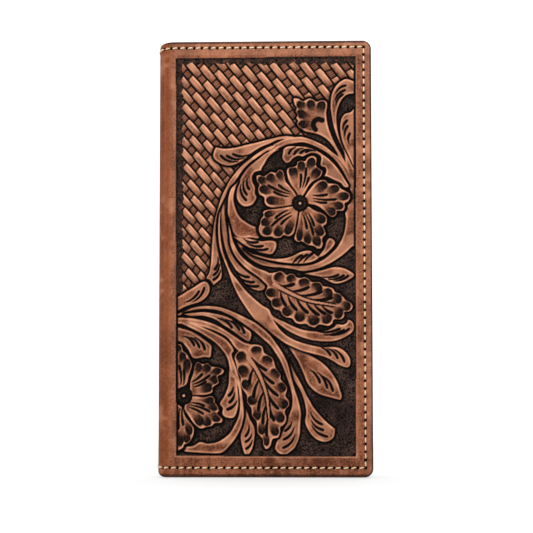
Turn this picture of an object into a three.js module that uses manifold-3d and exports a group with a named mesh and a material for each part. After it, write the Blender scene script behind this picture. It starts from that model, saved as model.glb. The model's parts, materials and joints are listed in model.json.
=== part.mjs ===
// Long bifold wallet with a tooled leather front, standing closed on its short bottom edge.
// Millimetres, +Z up along the wallet's height, spine at -X, tooled front towards -Y.
// The origin is under the middle of the closed wallet, on the surface it stands on.
import * as THREE from 'three';
import { mergeVertices } from 'three/addons/utils/BufferGeometryUtils.js';
import Module from 'manifold-3d';

const wasm = await Module();
wasm.setup();

// Outline of the closed wallet
const height = 190;
const width = 93;
const cornerRadius = 3.8;
const foldRadius = 5.5;
const spineDip = 2.4;
const spineDipRun = 6.5;
const footAngle = 0.2;

// Sheet thicknesses
const coverLeather = 2.2;
const liningCloth = 0.4;
const panelLeather = 0.9;
const pocketLeather = 0.6;
const windowLeather = 0.7;
const windowFilm = 0.3;
const tapeCloth = 0.5;

// Room that the pockets leave for what they hold
const billRoom = 4.5;
const cardRoom = 0.85;
const closedGap = 0.7;

// Clearances between pieces
const glueLine = 0.1;
const sewnGap = 0.15;
const foldGap = 0.3;
const toothGap = 0.3;
const runningGap = 0.15;
const slotGap = 0.6;

// Seams and setbacks, measured from the cover's edge or from the spine's outer face
const seamWidth = 5.5;
const sheetInset = 0.3;
const gussetInset = 0.6;
const pleatDepth = 1.6;
const spineSetback = 6.5;
const spineLiningInset = 4.5;

// Tooled field sunk into the front cover
const fieldFromSpine = 7.6;
const fieldFromFreeEdge = 7.4;
const fieldFromTop = 6.8;
const fieldFromBottom = 8.6;
const fieldDepth = 0.4;

// Stepped card pockets, with their mouths towards the spine
const firstMouthFromSpine = 22.8;
const mouthStep = 10;
const pocketMargin = 5.4;
const pocketCorner = 1.5;

// Identity window for a standard card
const cardWidth = 54;
const cardLength = 86;
const windowBorder = 3;
const windowRim = 6;
const windowCorner = 4;
const windowFreeMargin = 4;
const filmRim = 2.5;
const thumbRadius = 8;

// Zip of the coin pocket
const zipFromSpine = 18.5;
const zipFromBottom = 28;
const zipFromTop = 18;
const tapeWidth = 5;
const toothPitch = 2.5;
const toothThickness = 1.4;
const toothReach = 0.9;
const beadWidth = 1;
const stopLength = 2.4;
const stopSheet = 0.7;

// Slider and its pull
const sliderLength = 9;
const sliderWide = 6.8;
const sliderPlate = 0.7;
const sliderLip = 0.6;
const bridgeSpan = 6.4;
const bridgeWidth = 1.2;
const bridgeBar = 0.65;
const pullSheet = 0.8;
const pullLength = 20;
const pullEyeWidth = 4.4;
const pullEyeLength = 3.4;
const pullBar = 1;
const pullRim = 0.9;
const pullWaist = 4.2;
const pullTip = 6.4;

// Places worked out from the sizes above
const spineX = -width / 2;
const freeX = width / 2;
const sheetSpineX = spineX + spineSetback;
const zipX = spineX + zipFromSpine;
const foldRound = Math.min(foldRadius, 3 * coverLeather);
const curveSteps = 8;
const quarter = Math.PI / 2;

// Depth of each layer of a half, counted inwards from the half's outer face
const liningDepth = coverLeather + glueLine;
const liningInside = liningDepth + liningCloth;
const cardPanelDepth = liningInside + billRoom;
const cardPanelInside = cardPanelDepth + panelLeather;
const pocketNames = ['card_pocket_rear', 'card_pocket_middle', 'card_pocket_front'];
const pocketPitch = cardRoom + pocketLeather;
const backHalfDepth = cardPanelInside + pocketNames.length * pocketPitch;
const platesFrom = toothThickness / 2 + runningGap;
const tapeMiddleDepth = liningInside + slotGap / 2 + sliderPlate + platesFrom;
const zipPanelDepth = tapeMiddleDepth + tapeCloth / 2 + glueLine;
const zipPanelInside = zipPanelDepth + panelLeather;
const coinRoom = zipPanelDepth - liningInside;
const filmDepth = zipPanelInside + cardRoom;
const windowDepth = filmDepth + windowFilm + glueLine;
const frontHalfDepth = windowDepth + windowLeather;
const thickness = backHalfDepth + closedGap + frontHalfDepth;

// Zip layout: the slot between the leather panels, and the slider's place at the lower stop
const slotHalf = sliderWide / 2 + slotGap;
const beadInside = toothReach + toothGap;
const beadOutside = beadInside + beadWidth;
const tapeLow = seamWidth + gussetInset + glueLine;
const tapeHigh = height - tapeLow;
const zipLow = zipFromBottom;
const zipHigh = height - zipFromTop;
const sliderZ = zipLow + sliderLength / 2 + runningGap;
const lipMiddle = beadOutside + runningGap + sliderLip / 2;
const sliderNarrow = 2 * lipMiddle + sliderLip;

/** One material for one piece: colour, roughness and metalness. */
function finish(colour, roughness, metalness = 0) {
  return new THREE.MeshStandardMaterial({ color: colour, roughness, metalness });
}

const tooledLeather = () => finish(0x8b5236, 0.5);
const plainLeather = () => finish(0x7d472f, 0.5);
const pocketHide = () => finish(0x6b3d29, 0.55);
const liningFabric = () => finish(0x2c211c, 0.9);
const clearFilm = () => finish(0xd8dcdc, 0.15);
const zipCloth = () => finish(0x2a1c17, 0.9);
const brass = () => finish(0xb08a4a, 0.35, 1);

/** Outline in width and height, with a radius for each corner that is named. */
function cornered(x0, x1, z0, z1, { lowSpine = 0, lowFree = 0, highFree = 0, highSpine = 0 } = {}) {
  const shape = new THREE.Shape();
  const corners = [
    [x1 - lowFree, z0 + lowFree, lowFree, -quarter],
    [x1 - highFree, z1 - highFree, highFree, 0],
    [x0 + highSpine, z1 - highSpine, highSpine, quarter],
    [x0 + lowSpine, z0 + lowSpine, lowSpine, 2 * quarter],
  ];
  shape.moveTo(x0 + lowSpine, z0);
  for (const [x, z, radius, start] of corners) {
    shape.lineTo(x + radius * Math.cos(start), z + radius * Math.sin(start));
    if (radius > 0) shape.absarc(x, z, radius, start, start + quarter);
  }
  return shape;
}

/** Outline with the same radius at all four corners. */
function roundedAll(x0, x1, z0, z1, radius) {
  return cornered(x0, x1, z0, z1, { lowSpine: radius, lowFree: radius, highFree: radius, highSpine: radius });
}

/** Straight prism of an outline, without bevels. */
function prism(shape, depth) {
  return new THREE.ExtrudeGeometry(shape, { depth, bevelEnabled: false, curveSegments: curveSteps });
}

/** Prism of an outline drawn in width and height, with its faces at y and at y less its depth. */
function uprightPrism(shape, depth, yHigh) {
  return prism(shape, depth).rotateX(quarter).translate(0, yHigh, 0);
}

/** Prism of a section drawn in minus height and depth, running along the width. */
function crosswisePrism(shape, length) {
  return prism(shape, length).rotateY(quarter).translate(-length / 2, 0, 0);
}

/** Solid for joining and cutting, from a closed geometry. */
function solidOf(geometry) {
  const bare = geometry.clone();
  bare.deleteAttribute('normal');
  bare.deleteAttribute('uv');
  const merged = mergeVertices(bare);
  return new wasm.Manifold(new wasm.Mesh({
    numProp: 3,
    vertProperties: new Float32Array(merged.attributes.position.array),
    triVerts: new Uint32Array(merged.index.array),
  }));
}

/** Geometry of a joined or cut solid. */
function geometryOf(solid) {
  const mesh = solid.getMesh();
  const geometry = new THREE.BufferGeometry();
  geometry.setAttribute('position', new THREE.BufferAttribute(mesh.vertProperties, mesh.numProp));
  geometry.setIndex(new THREE.BufferAttribute(mesh.triVerts, 1));
  geometry.computeVertexNormals();
  return geometry;
}

const wallet = new THREE.Group();

/** One half of the wallet: its group sits on the half's outer face, and its layers run inwards. */
function makeHalf(outerY, inward) {
  const group = new THREE.Group();
  group.position.y = outerY;
  wallet.add(group);
  return { group, inward };
}

const backHalf = makeHalf(thickness / 2, -1);
const frontHalf = makeHalf(-thickness / 2, 1);

/** Highest y, inside its half's group, of a layer that starts at a depth. */
function layerTop(half, depth, sheet) {
  return half.inward > 0 ? depth + sheet : -depth;
}

/** Adds a named piece to a group. */
function addPiece(group, name, geometry, material) {
  const mesh = new THREE.Mesh(geometry, material);
  mesh.name = name;
  group.add(mesh);
  return mesh;
}

/** Adds a flat sheet whose outer face lies at a depth inside its half. */
function addSheet(half, name, outline, depth, sheet, material) {
  const mesh = addPiece(half.group, name, prism(outline, sheet), material);
  mesh.rotation.x = quarter;
  mesh.position.y = layerTop(half, depth, sheet);
}

/**
 * Outline of a cover: rounded at the free edge and drawn in at the spine. Both curves leave the flat
 * top and bottom edges at an angle, so that the edge it stands on has clear ends.
 */
function coverOutline() {
  const shape = new THREE.Shape();
  const pull = spineX + spineDipRun / 4;
  const lift = (spineX + spineDipRun - pull) * Math.tan(footAngle);
  shape.moveTo(spineX, spineDip);
  shape.quadraticCurveTo(pull, lift, spineX + spineDipRun, 0);
  shape.lineTo(freeX - cornerRadius, 0);
  shape.absarc(freeX - cornerRadius, cornerRadius, cornerRadius, footAngle - quarter, 0);
  shape.lineTo(freeX, height - cornerRadius);
  shape.absarc(freeX - cornerRadius, height - cornerRadius, cornerRadius, 0, quarter - footAngle);
  shape.lineTo(freeX - cornerRadius, height);
  shape.lineTo(spineX + spineDipRun, height);
  shape.quadraticCurveTo(pull, height - lift, spineX, height - spineDip);
  return shape;
}

/** Point on the outside of a fold: angle 0 is on the flat cover, a quarter turn is on the spine. */
function foldPoint(angle) {
  return { across: foldRound * (1 - Math.sin(angle)), inwards: foldRound * (1 - Math.cos(angle)) };
}

// Half of the fold's gap, as an angle on the outside and along a face on the skived inside
const foldGapAngle = Math.asin(foldGap / 2 / foldRound);
const skiveGap = foldGap / Math.SQRT2;

/** Section of a cover: flat, rolled half way round the fold and skived inside it. */
function coverSection(inward) {
  const shape = new THREE.Shape();
  shape.moveTo(spineX + coverLeather + skiveGap, inward * coverLeather);
  shape.lineTo(freeX, inward * coverLeather);
  shape.lineTo(freeX, 0);
  for (let step = 0; step <= curveSteps; step += 1) {
    const { across, inwards } = foldPoint((quarter / 2 - foldGapAngle) * step / curveSteps);
    shape.lineTo(spineX + across, inward * inwards);
  }
  return shape;
}

/** Cover of one half, flat with a rolled spine edge. */
function coverSolid(half) {
  const section = solidOf(prism(coverSection(half.inward), height));
  const outline = solidOf(uprightPrism(coverOutline(), 4 * coverLeather, 2 * coverLeather));
  return section.intersect(outline);
}

/** Back cover: plain leather outside. */
function addBackCover() {
  addPiece(backHalf.group, 'back_cover', geometryOf(coverSolid(backHalf)), plainLeather());
}

/** Front cover: the tooled field is sunk below its plain border. */
function addFrontCover() {
  const field = cornered(spineX + fieldFromSpine, freeX - fieldFromFreeEdge,
    fieldFromBottom, height - fieldFromTop);
  const sunk = solidOf(uprightPrism(field, 2 * fieldDepth, fieldDepth));
  const cover = coverSolid(frontHalf).subtract(sunk);
  addPiece(frontHalf.group, 'front_cover', geometryOf(cover), tooledLeather());
}

/** Spine leather between the two folds, with the other half of each roll. */
function addSpine() {
  const section = new THREE.Shape();
  const half = thickness / 2;
  const innerEnd = half - coverLeather - skiveGap;
  section.moveTo(spineX + coverLeather, -innerEnd);
  section.lineTo(spineX + coverLeather, innerEnd);
  for (const side of [1, -1]) {
    for (let step = 0; step <= curveSteps; step += 1) {
      const share = side > 0 ? step / curveSteps : 1 - step / curveSteps;
      const rolled = foldGapAngle + (quarter / 2 - foldGapAngle) * share;
      const { across, inwards } = foldPoint(quarter / 2 + rolled);
      section.lineTo(spineX + across, side * (half - inwards));
    }
  }
  const panel = addPiece(wallet, 'spine_panel', prism(section, height - 2 * spineDip), plainLeather());
  panel.position.z = spineDip;
  const reach = half - spineLiningInset;
  const strip = new THREE.Shape();
  strip.moveTo(0, -reach);
  strip.lineTo(liningCloth, -reach);
  strip.lineTo(liningCloth, reach);
  strip.lineTo(0, reach);
  const lining = addPiece(wallet, 'spine_lining', prism(strip, height - 2 * seamWidth), liningFabric());
  lining.position.set(spineX + coverLeather + glueLine, 0, seamWidth);
}

/** Outline of a sheet that is sewn into all three seams, inside the cover's edge by an inset. */
function sewnOutline(inset, x0 = sheetSpineX) {
  const corner = cornerRadius - inset;
  return cornered(x0, freeX - inset, inset, height - inset, { lowFree: corner, highFree: corner });
}

/** Cloth lining glued inside each cover. */
function addLinings() {
  const outline = sewnOutline(gussetInset);
  addSheet(backHalf, 'back_lining', outline, liningDepth, liningCloth, liningFabric());
  addSheet(frontHalf, 'front_lining', outline, liningDepth, liningCloth, liningFabric());
}

/** Section of a gusset's folded groove, open outside an edge and pointed inside it. */
function pleatSection(edge, outward, middle, room) {
  const shape = new THREE.Shape();
  shape.moveTo(edge + outward * pleatDepth, middle - room / 2);
  shape.lineTo(edge - outward * pleatDepth, middle);
  shape.lineTo(edge + outward * pleatDepth, middle + room / 2);
  return shape;
}

/** Three folded strips that close a compartment at the top, the bottom and the free edge. */
function addGussets(half, prefix, depth, room, material) {
  const strip = room - 2 * glueLine;
  const yHigh = layerTop(half, depth + glueLine, strip);
  const middle = yHigh - strip / 2;
  const x1 = freeX - gussetInset;
  const low = gussetInset;
  const high = height - gussetInset;
  const corner = cornerRadius - gussetInset;
  const sideLow = low + seamWidth + sewnGap;
  const sidePleat = solidOf(prism(pleatSection(x1, 1, middle, room), height));
  const outlines = {
    bottom: cornered(sheetSpineX, x1, low, low + seamWidth, { lowFree: corner }),
    top: cornered(sheetSpineX, x1, high - seamWidth, high, { highFree: corner }),
    side: cornered(x1 - seamWidth, x1, sideLow, height - sideLow),
  };
  const endPleats = {
    bottom: solidOf(crosswisePrism(pleatSection(-low, 1, middle, room), 2 * width)),
    top: solidOf(crosswisePrism(pleatSection(-high, -1, middle, room), 2 * width)),
  };
  for (const [edge, outline] of Object.entries(outlines)) {
    let solid = solidOf(uprightPrism(outline, strip, yHigh)).subtract(sidePleat);
    if (endPleats[edge]) solid = solid.subtract(endPleats[edge]);
    addPiece(half.group, `${prefix}_gusset_${edge}`, geometryOf(solid), material());
  }
}

/** Panel over the bill compartment, and the stepped pockets sewn on it. */
function addCardSide() {
  addSheet(backHalf, 'card_panel', sewnOutline(sheetInset), cardPanelDepth, panelLeather, pocketHide());
  pocketNames.forEach((name, index) => {
    const mouth = spineX + firstMouthFromSpine + index * mouthStep;
    const high = height - pocketMargin;
    const outline = roundedAll(mouth, freeX - pocketMargin, pocketMargin, high, pocketCorner);
    const depth = cardPanelInside + index * pocketPitch + cardRoom;
    addSheet(backHalf, name, outline, depth, pocketLeather, pocketHide());
  });
}

/** Leather panels of the coin pocket, on both sides of the zip's slot, and the tabs over its ends. */
function addCoinPanels() {
  const spineSide = cornered(sheetSpineX, zipX - slotHalf, sheetInset, height - sheetInset);
  addSheet(frontHalf, 'coin_panel_narrow', spineSide, zipPanelDepth, panelLeather, pocketHide());
  const freeSide = sewnOutline(sheetInset, zipX + slotHalf);
  addSheet(frontHalf, 'coin_panel_wide', freeSide, zipPanelDepth, panelLeather, pocketHide());
  const reach = slotHalf - sewnGap;
  const tabEnd = stopLength + runningGap;
  const lower = cornered(zipX - reach, zipX + reach, sheetInset, zipLow - tabEnd);
  addSheet(frontHalf, 'zip_tab_bottom', lower, zipPanelDepth, panelLeather, pocketHide());
  const upper = cornered(zipX - reach, zipX + reach, zipHigh + tabEnd, height - sheetInset);
  addSheet(frontHalf, 'zip_tab_top', upper, zipPanelDepth, panelLeather, pocketHide());
}

/** One row of zip teeth on its bead, in width from the zip's middle line and in height. */
function toothRow(side, firstTooth) {
  const toothHalf = (toothPitch / 2 - toothGap) / 2;
  const shape = new THREE.Shape();
  shape.moveTo(side * beadOutside, zipLow);
  shape.lineTo(side * beadInside, zipLow);
  for (let z = firstTooth; z + toothHalf < zipHigh; z += toothPitch) {
    shape.lineTo(side * beadInside, z - toothHalf);
    shape.lineTo(-side * toothReach, z - toothHalf * 0.8);
    shape.lineTo(-side * toothReach, z + toothHalf * 0.8);
    shape.lineTo(side * beadInside, z + toothHalf);
  }
  shape.lineTo(side * beadInside, zipHigh);
  shape.lineTo(side * beadOutside, zipHigh);
  return shape;
}

/** Zip: two tapes under the leather, two rows of meshing teeth and a stop at each end. */
function addZip() {
  const zip = new THREE.Group();
  zip.position.set(zipX, tapeMiddleDepth, 0);
  frontHalf.group.add(zip);
  const near = beadOutside + glueLine;
  const rows = [['narrow', -1, zipLow + toothPitch], ['wide', 1, zipLow + toothPitch * 1.5]];
  for (const [place, side, firstTooth] of rows) {
    const edges = [side * near, side * (near + tapeWidth)].sort((a, b) => a - b);
    const tape = uprightPrism(cornered(edges[0], edges[1], tapeLow, tapeHigh), tapeCloth, tapeCloth / 2);
    addPiece(zip, `zip_tape_${place}`, tape, zipCloth());
    const teeth = uprightPrism(toothRow(side, firstTooth), toothThickness, toothThickness / 2);
    addPiece(zip, `zip_teeth_${place}`, teeth, brass());
  }
  const stopReach = beadOutside + stopSheet;
  const stops = { zip_stop_bottom: zipLow - stopLength, zip_stop_top: zipHigh + runningGap };
  for (const [name, low] of Object.entries(stops)) {
    const z0 = low - (name === 'zip_stop_bottom' ? runningGap : 0);
    const outline = roundedAll(-stopReach, stopReach, z0, z0 + stopLength, stopSheet / 2);
    addPiece(zip, name, uprightPrism(outline, stopSheet, tapeCloth / 2 + glueLine + stopSheet), brass());
  }
}

/** Window pocket for one card: a clear film behind a leather frame with a thumb notch at its mouth. */
function addWindow() {
  const x1 = freeX - windowFreeMargin;
  const x0 = x1 - cardWidth - 2 * windowBorder;
  const halfLength = cardLength / 2 + windowBorder;
  const middle = height / 2;
  const frame = new THREE.Shape();
  frame.moveTo(x0, middle - halfLength);
  frame.lineTo(x1, middle - halfLength);
  frame.lineTo(x1, middle + halfLength);
  frame.lineTo(x0, middle + halfLength);
  frame.lineTo(x0, middle + thumbRadius);
  frame.absarc(x0 - thumbRadius / 2, middle, thumbRadius, quarter * 2 / 3, -quarter * 2 / 3, true);
  const opening = roundedAll(x0 + 2 * windowRim, x1 - windowRim,
    middle - halfLength + windowRim, middle + halfLength - windowRim, windowCorner);
  frame.holes.push(opening);
  addSheet(frontHalf, 'window_frame', frame, windowDepth, windowLeather, pocketHide());
  const filmHalf = halfLength - filmRim;
  const film = cornered(x0 + thumbRadius, x1 - filmRim, middle - filmHalf, middle + filmHalf);
  addSheet(frontHalf, 'window_film', film, filmDepth, windowFilm, clearFilm());
}

/** Outline of the slider's plates: wide where the rows part, narrow where they leave closed. */
function sliderOutline() {
  const shape = new THREE.Shape();
  const half = sliderLength / 2;
  shape.moveTo(-sliderWide / 2, -half / 2);
  shape.quadraticCurveTo(-sliderWide / 2, -half, 0, -half);
  shape.quadraticCurveTo(sliderWide / 2, -half, sliderWide / 2, -half / 2);
  shape.lineTo(sliderNarrow / 2, half);
  shape.lineTo(-sliderNarrow / 2, half);
  return shape;
}

/** One plate of the slider with its two side lips, above or below the teeth. */
function sliderPlateSolid(side) {
  const plateTop = side > 0 ? platesFrom + sliderPlate : -platesFrom;
  const lipFrom = tapeCloth / 2 + runningGap;
  const lipDepth = platesFrom - lipFrom + sliderPlate / 2;
  const lipTop = side > 0 ? lipFrom + lipDepth : -lipFrom;
  let solid = solidOf(uprightPrism(sliderOutline(), sliderPlate, plateTop));
  for (const edge of [-1, 1]) {
    const middle = edge * lipMiddle;
    const lip = cornered(middle - sliderLip / 2, middle + sliderLip / 2, -sliderLength / 4, sliderLength / 2);
    solid = solid.add(solidOf(uprightPrism(lip, lipDepth, lipTop)));
  }
  return solid;
}

/** Bridge over the slider's top plate, which holds the pull's eye. */
function bridgeSolid() {
  const foot = platesFrom + sliderPlate / 2;
  const clear = platesFrom + sliderPlate + pullSheet + 2 * runningGap;
  const crown = clear + bridgeBar;
  const half = bridgeSpan / 2;
  const inner = half - bridgeBar;
  const shape = new THREE.Shape();
  shape.moveTo(-half, foot);
  shape.lineTo(-inner, foot);
  shape.lineTo(-inner, clear);
  shape.lineTo(inner, clear);
  shape.lineTo(inner, foot);
  shape.lineTo(half, foot);
  shape.quadraticCurveTo(half, crown, inner - bridgeBar, crown);
  shape.lineTo(bridgeBar - inner, crown);
  shape.quadraticCurveTo(-half, crown, -half, foot);
  return solidOf(crosswisePrism(shape, bridgeWidth));
}

/** Pull tab, drawn hanging from the middle of its eye's bar. */
function pullOutline() {
  const eyeHalf = pullEyeWidth / 2 + pullRim;
  const bar = pullBar / 2;
  const eyeLow = -bar - pullEyeLength;
  const tipRadius = pullTip / 2;
  const shape = new THREE.Shape();
  shape.moveTo(-eyeHalf, -bar);
  shape.quadraticCurveTo(-eyeHalf, bar, bar - eyeHalf, bar);
  shape.lineTo(eyeHalf - bar, bar);
  shape.quadraticCurveTo(eyeHalf, bar, eyeHalf, -bar);
  shape.lineTo(eyeHalf, eyeLow);
  shape.quadraticCurveTo(pullWaist / 2, eyeLow - pullRim, pullWaist / 2, eyeLow - 3 * pullRim);
  shape.lineTo(tipRadius, tipRadius - pullLength);
  shape.absarc(0, tipRadius - pullLength, tipRadius, 0, -2 * quarter, true);
  shape.lineTo(-pullWaist / 2, eyeLow - 3 * pullRim);
  shape.quadraticCurveTo(-pullWaist / 2, eyeLow - pullRim, -eyeHalf, eyeLow);
  const eye = roundedAll(-pullEyeWidth / 2, pullEyeWidth / 2, eyeLow, -bar, pullRim / 2);
  shape.holes.push(eye);
  return shape;
}

/** Slider at the lower stop, in its own group, with the pull hanging in its bridge. */
function addSlider() {
  const slider = new THREE.Group();
  slider.position.set(zipX, tapeMiddleDepth, sliderZ);
  frontHalf.group.add(slider);
  addPiece(slider, 'zip_slider', geometryOf(sliderPlateSolid(1).add(bridgeSolid())), brass());
  addPiece(slider, 'zip_slider_base', geometryOf(sliderPlateSolid(-1)), brass());
  const pullTop = platesFrom + sliderPlate + runningGap + pullSheet;
  addPiece(slider, 'zip_pull', uprightPrism(pullOutline(), pullSheet, pullTop), brass());
}

addBackCover();
addFrontCover();
addSpine();
addLinings();
addGussets(backHalf, 'bill', liningInside, billRoom, pocketHide);
addGussets(frontHalf, 'coin', liningInside, coinRoom, pocketHide);
addCardSide();
addCoinPanels();
addZip();
addWindow();
addSlider();

export default wallet;
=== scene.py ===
"""Looks of a long bifold wallet: tooled front, plain back, stitched seams and a full inside.

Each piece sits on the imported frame, in metres. Sizes here are millimetres unless a name says otherwise,
and the carved outlines are in pixels of the 533 by 533 photograph.
"""
from __future__ import annotations

import json
import logging
import math
from dataclasses import dataclass, field
from enum import Enum
from typing import Any, Iterator, Sequence, Union

import bmesh
import bpy
import numpy as np
from mathutils import Matrix, Vector
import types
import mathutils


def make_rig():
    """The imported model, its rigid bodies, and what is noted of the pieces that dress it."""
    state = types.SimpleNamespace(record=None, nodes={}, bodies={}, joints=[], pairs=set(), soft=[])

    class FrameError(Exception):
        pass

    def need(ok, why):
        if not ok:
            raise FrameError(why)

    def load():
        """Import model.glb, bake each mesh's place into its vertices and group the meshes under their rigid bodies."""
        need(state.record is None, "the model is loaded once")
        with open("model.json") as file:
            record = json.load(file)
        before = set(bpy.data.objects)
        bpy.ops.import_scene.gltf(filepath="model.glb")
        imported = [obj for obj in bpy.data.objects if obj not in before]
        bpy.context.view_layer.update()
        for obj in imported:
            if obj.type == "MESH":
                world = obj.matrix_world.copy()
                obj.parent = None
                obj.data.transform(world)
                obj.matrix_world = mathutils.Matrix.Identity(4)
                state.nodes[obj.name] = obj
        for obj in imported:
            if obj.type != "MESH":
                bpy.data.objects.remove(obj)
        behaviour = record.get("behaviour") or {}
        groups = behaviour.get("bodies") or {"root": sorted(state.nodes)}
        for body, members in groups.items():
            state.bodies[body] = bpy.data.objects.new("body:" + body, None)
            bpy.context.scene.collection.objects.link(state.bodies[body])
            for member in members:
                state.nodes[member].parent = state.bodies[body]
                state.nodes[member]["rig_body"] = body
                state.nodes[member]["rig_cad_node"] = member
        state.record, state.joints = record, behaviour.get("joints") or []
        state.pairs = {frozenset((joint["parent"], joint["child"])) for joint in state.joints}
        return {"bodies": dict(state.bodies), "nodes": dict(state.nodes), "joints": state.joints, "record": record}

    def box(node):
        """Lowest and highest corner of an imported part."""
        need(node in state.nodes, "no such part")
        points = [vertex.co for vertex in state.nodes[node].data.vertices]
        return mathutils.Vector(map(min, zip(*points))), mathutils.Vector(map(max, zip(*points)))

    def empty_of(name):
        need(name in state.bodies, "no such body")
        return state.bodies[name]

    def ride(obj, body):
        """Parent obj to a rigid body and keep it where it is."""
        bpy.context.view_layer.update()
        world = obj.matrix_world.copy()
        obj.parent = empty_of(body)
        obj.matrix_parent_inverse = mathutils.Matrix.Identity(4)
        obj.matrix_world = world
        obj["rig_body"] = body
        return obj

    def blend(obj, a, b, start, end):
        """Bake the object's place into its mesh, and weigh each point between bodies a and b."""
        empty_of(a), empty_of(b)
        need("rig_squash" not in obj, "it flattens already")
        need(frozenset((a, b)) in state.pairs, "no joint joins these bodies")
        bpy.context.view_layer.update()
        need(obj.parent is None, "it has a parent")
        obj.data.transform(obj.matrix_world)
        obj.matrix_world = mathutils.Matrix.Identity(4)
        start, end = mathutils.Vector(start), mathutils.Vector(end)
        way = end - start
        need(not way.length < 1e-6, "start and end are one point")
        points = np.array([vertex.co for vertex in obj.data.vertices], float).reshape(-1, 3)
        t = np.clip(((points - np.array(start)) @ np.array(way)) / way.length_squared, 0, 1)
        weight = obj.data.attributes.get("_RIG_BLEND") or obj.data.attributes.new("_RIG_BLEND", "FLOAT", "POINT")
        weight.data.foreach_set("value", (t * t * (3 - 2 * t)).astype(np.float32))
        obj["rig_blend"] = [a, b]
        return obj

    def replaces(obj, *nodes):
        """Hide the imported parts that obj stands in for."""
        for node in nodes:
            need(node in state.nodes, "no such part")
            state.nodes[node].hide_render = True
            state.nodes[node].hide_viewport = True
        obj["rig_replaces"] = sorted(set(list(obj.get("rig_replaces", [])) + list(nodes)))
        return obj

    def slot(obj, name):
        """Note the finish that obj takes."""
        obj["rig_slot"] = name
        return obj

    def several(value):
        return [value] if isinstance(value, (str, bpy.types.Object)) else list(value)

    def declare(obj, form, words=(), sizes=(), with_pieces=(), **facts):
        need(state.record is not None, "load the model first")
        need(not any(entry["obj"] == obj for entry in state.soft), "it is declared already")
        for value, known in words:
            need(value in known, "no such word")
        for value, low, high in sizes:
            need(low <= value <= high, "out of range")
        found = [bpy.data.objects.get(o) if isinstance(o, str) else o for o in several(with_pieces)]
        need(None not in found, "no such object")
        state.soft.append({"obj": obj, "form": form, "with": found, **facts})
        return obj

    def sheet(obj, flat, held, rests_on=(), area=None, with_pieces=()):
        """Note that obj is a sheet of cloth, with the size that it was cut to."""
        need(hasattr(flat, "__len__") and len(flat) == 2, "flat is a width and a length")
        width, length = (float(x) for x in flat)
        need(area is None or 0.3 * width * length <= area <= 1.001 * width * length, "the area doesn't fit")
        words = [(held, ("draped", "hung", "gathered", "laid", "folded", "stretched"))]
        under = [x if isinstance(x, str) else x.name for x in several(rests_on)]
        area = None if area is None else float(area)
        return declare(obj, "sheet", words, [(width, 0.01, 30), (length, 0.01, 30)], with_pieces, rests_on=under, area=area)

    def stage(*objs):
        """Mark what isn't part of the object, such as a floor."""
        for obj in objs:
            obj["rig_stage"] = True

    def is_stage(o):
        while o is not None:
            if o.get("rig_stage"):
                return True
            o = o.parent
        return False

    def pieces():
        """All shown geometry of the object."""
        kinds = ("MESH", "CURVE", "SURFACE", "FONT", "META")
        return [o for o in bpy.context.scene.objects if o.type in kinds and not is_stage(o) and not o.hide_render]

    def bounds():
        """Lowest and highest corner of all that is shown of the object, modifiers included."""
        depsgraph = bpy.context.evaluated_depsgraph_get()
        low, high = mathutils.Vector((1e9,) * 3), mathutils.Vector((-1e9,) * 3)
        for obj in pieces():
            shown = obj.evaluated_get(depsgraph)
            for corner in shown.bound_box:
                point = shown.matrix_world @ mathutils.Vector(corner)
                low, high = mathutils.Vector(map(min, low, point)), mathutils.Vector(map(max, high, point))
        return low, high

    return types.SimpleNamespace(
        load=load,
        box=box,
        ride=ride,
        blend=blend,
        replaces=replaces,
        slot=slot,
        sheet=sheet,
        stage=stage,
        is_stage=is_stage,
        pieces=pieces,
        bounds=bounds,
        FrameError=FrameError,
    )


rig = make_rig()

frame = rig.load()
CAD_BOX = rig.bounds()

MM = 0.001
Array = np.ndarray
Point = tuple[float, float]
Line = Sequence[Point]
Colour = tuple[float, float, float, float]
LOG = logging.getLogger("wallet")


class Half(Enum):
    """The two halves of the wallet, by the way that their outer faces look along Y."""

    FRONT = -1
    BACK = 1


class Axis(Enum):
    """The level axes that a flat face can look along."""

    X = 0
    Y = 1


class Slot(Enum):
    """Material slots of the record that new pieces take."""

    TOOLED = "tooled_leather"
    PLAIN = "plain_leather"
    POCKET = "pocket_leather"
    THREAD = "thread"
    LINING = "lining"
    TAPE = "zip_cloth"


def hex_colour(code: str) -> Colour:
    """Linear colour of a six-digit screen colour.

    Args:
        code: Red, green and blue as hexadecimal digits.

    Returns:
        Linear red, green, blue and full alpha.
    """
    screen = [int(code[k:k + 2], 16) / 255 for k in (0, 2, 4)]
    linear = [c / 12.92 if c <= 0.04045 else ((c + 0.055) / 1.055) ** 2.4 for c in screen]
    return linear[0], linear[1], linear[2], 1.0


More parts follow.
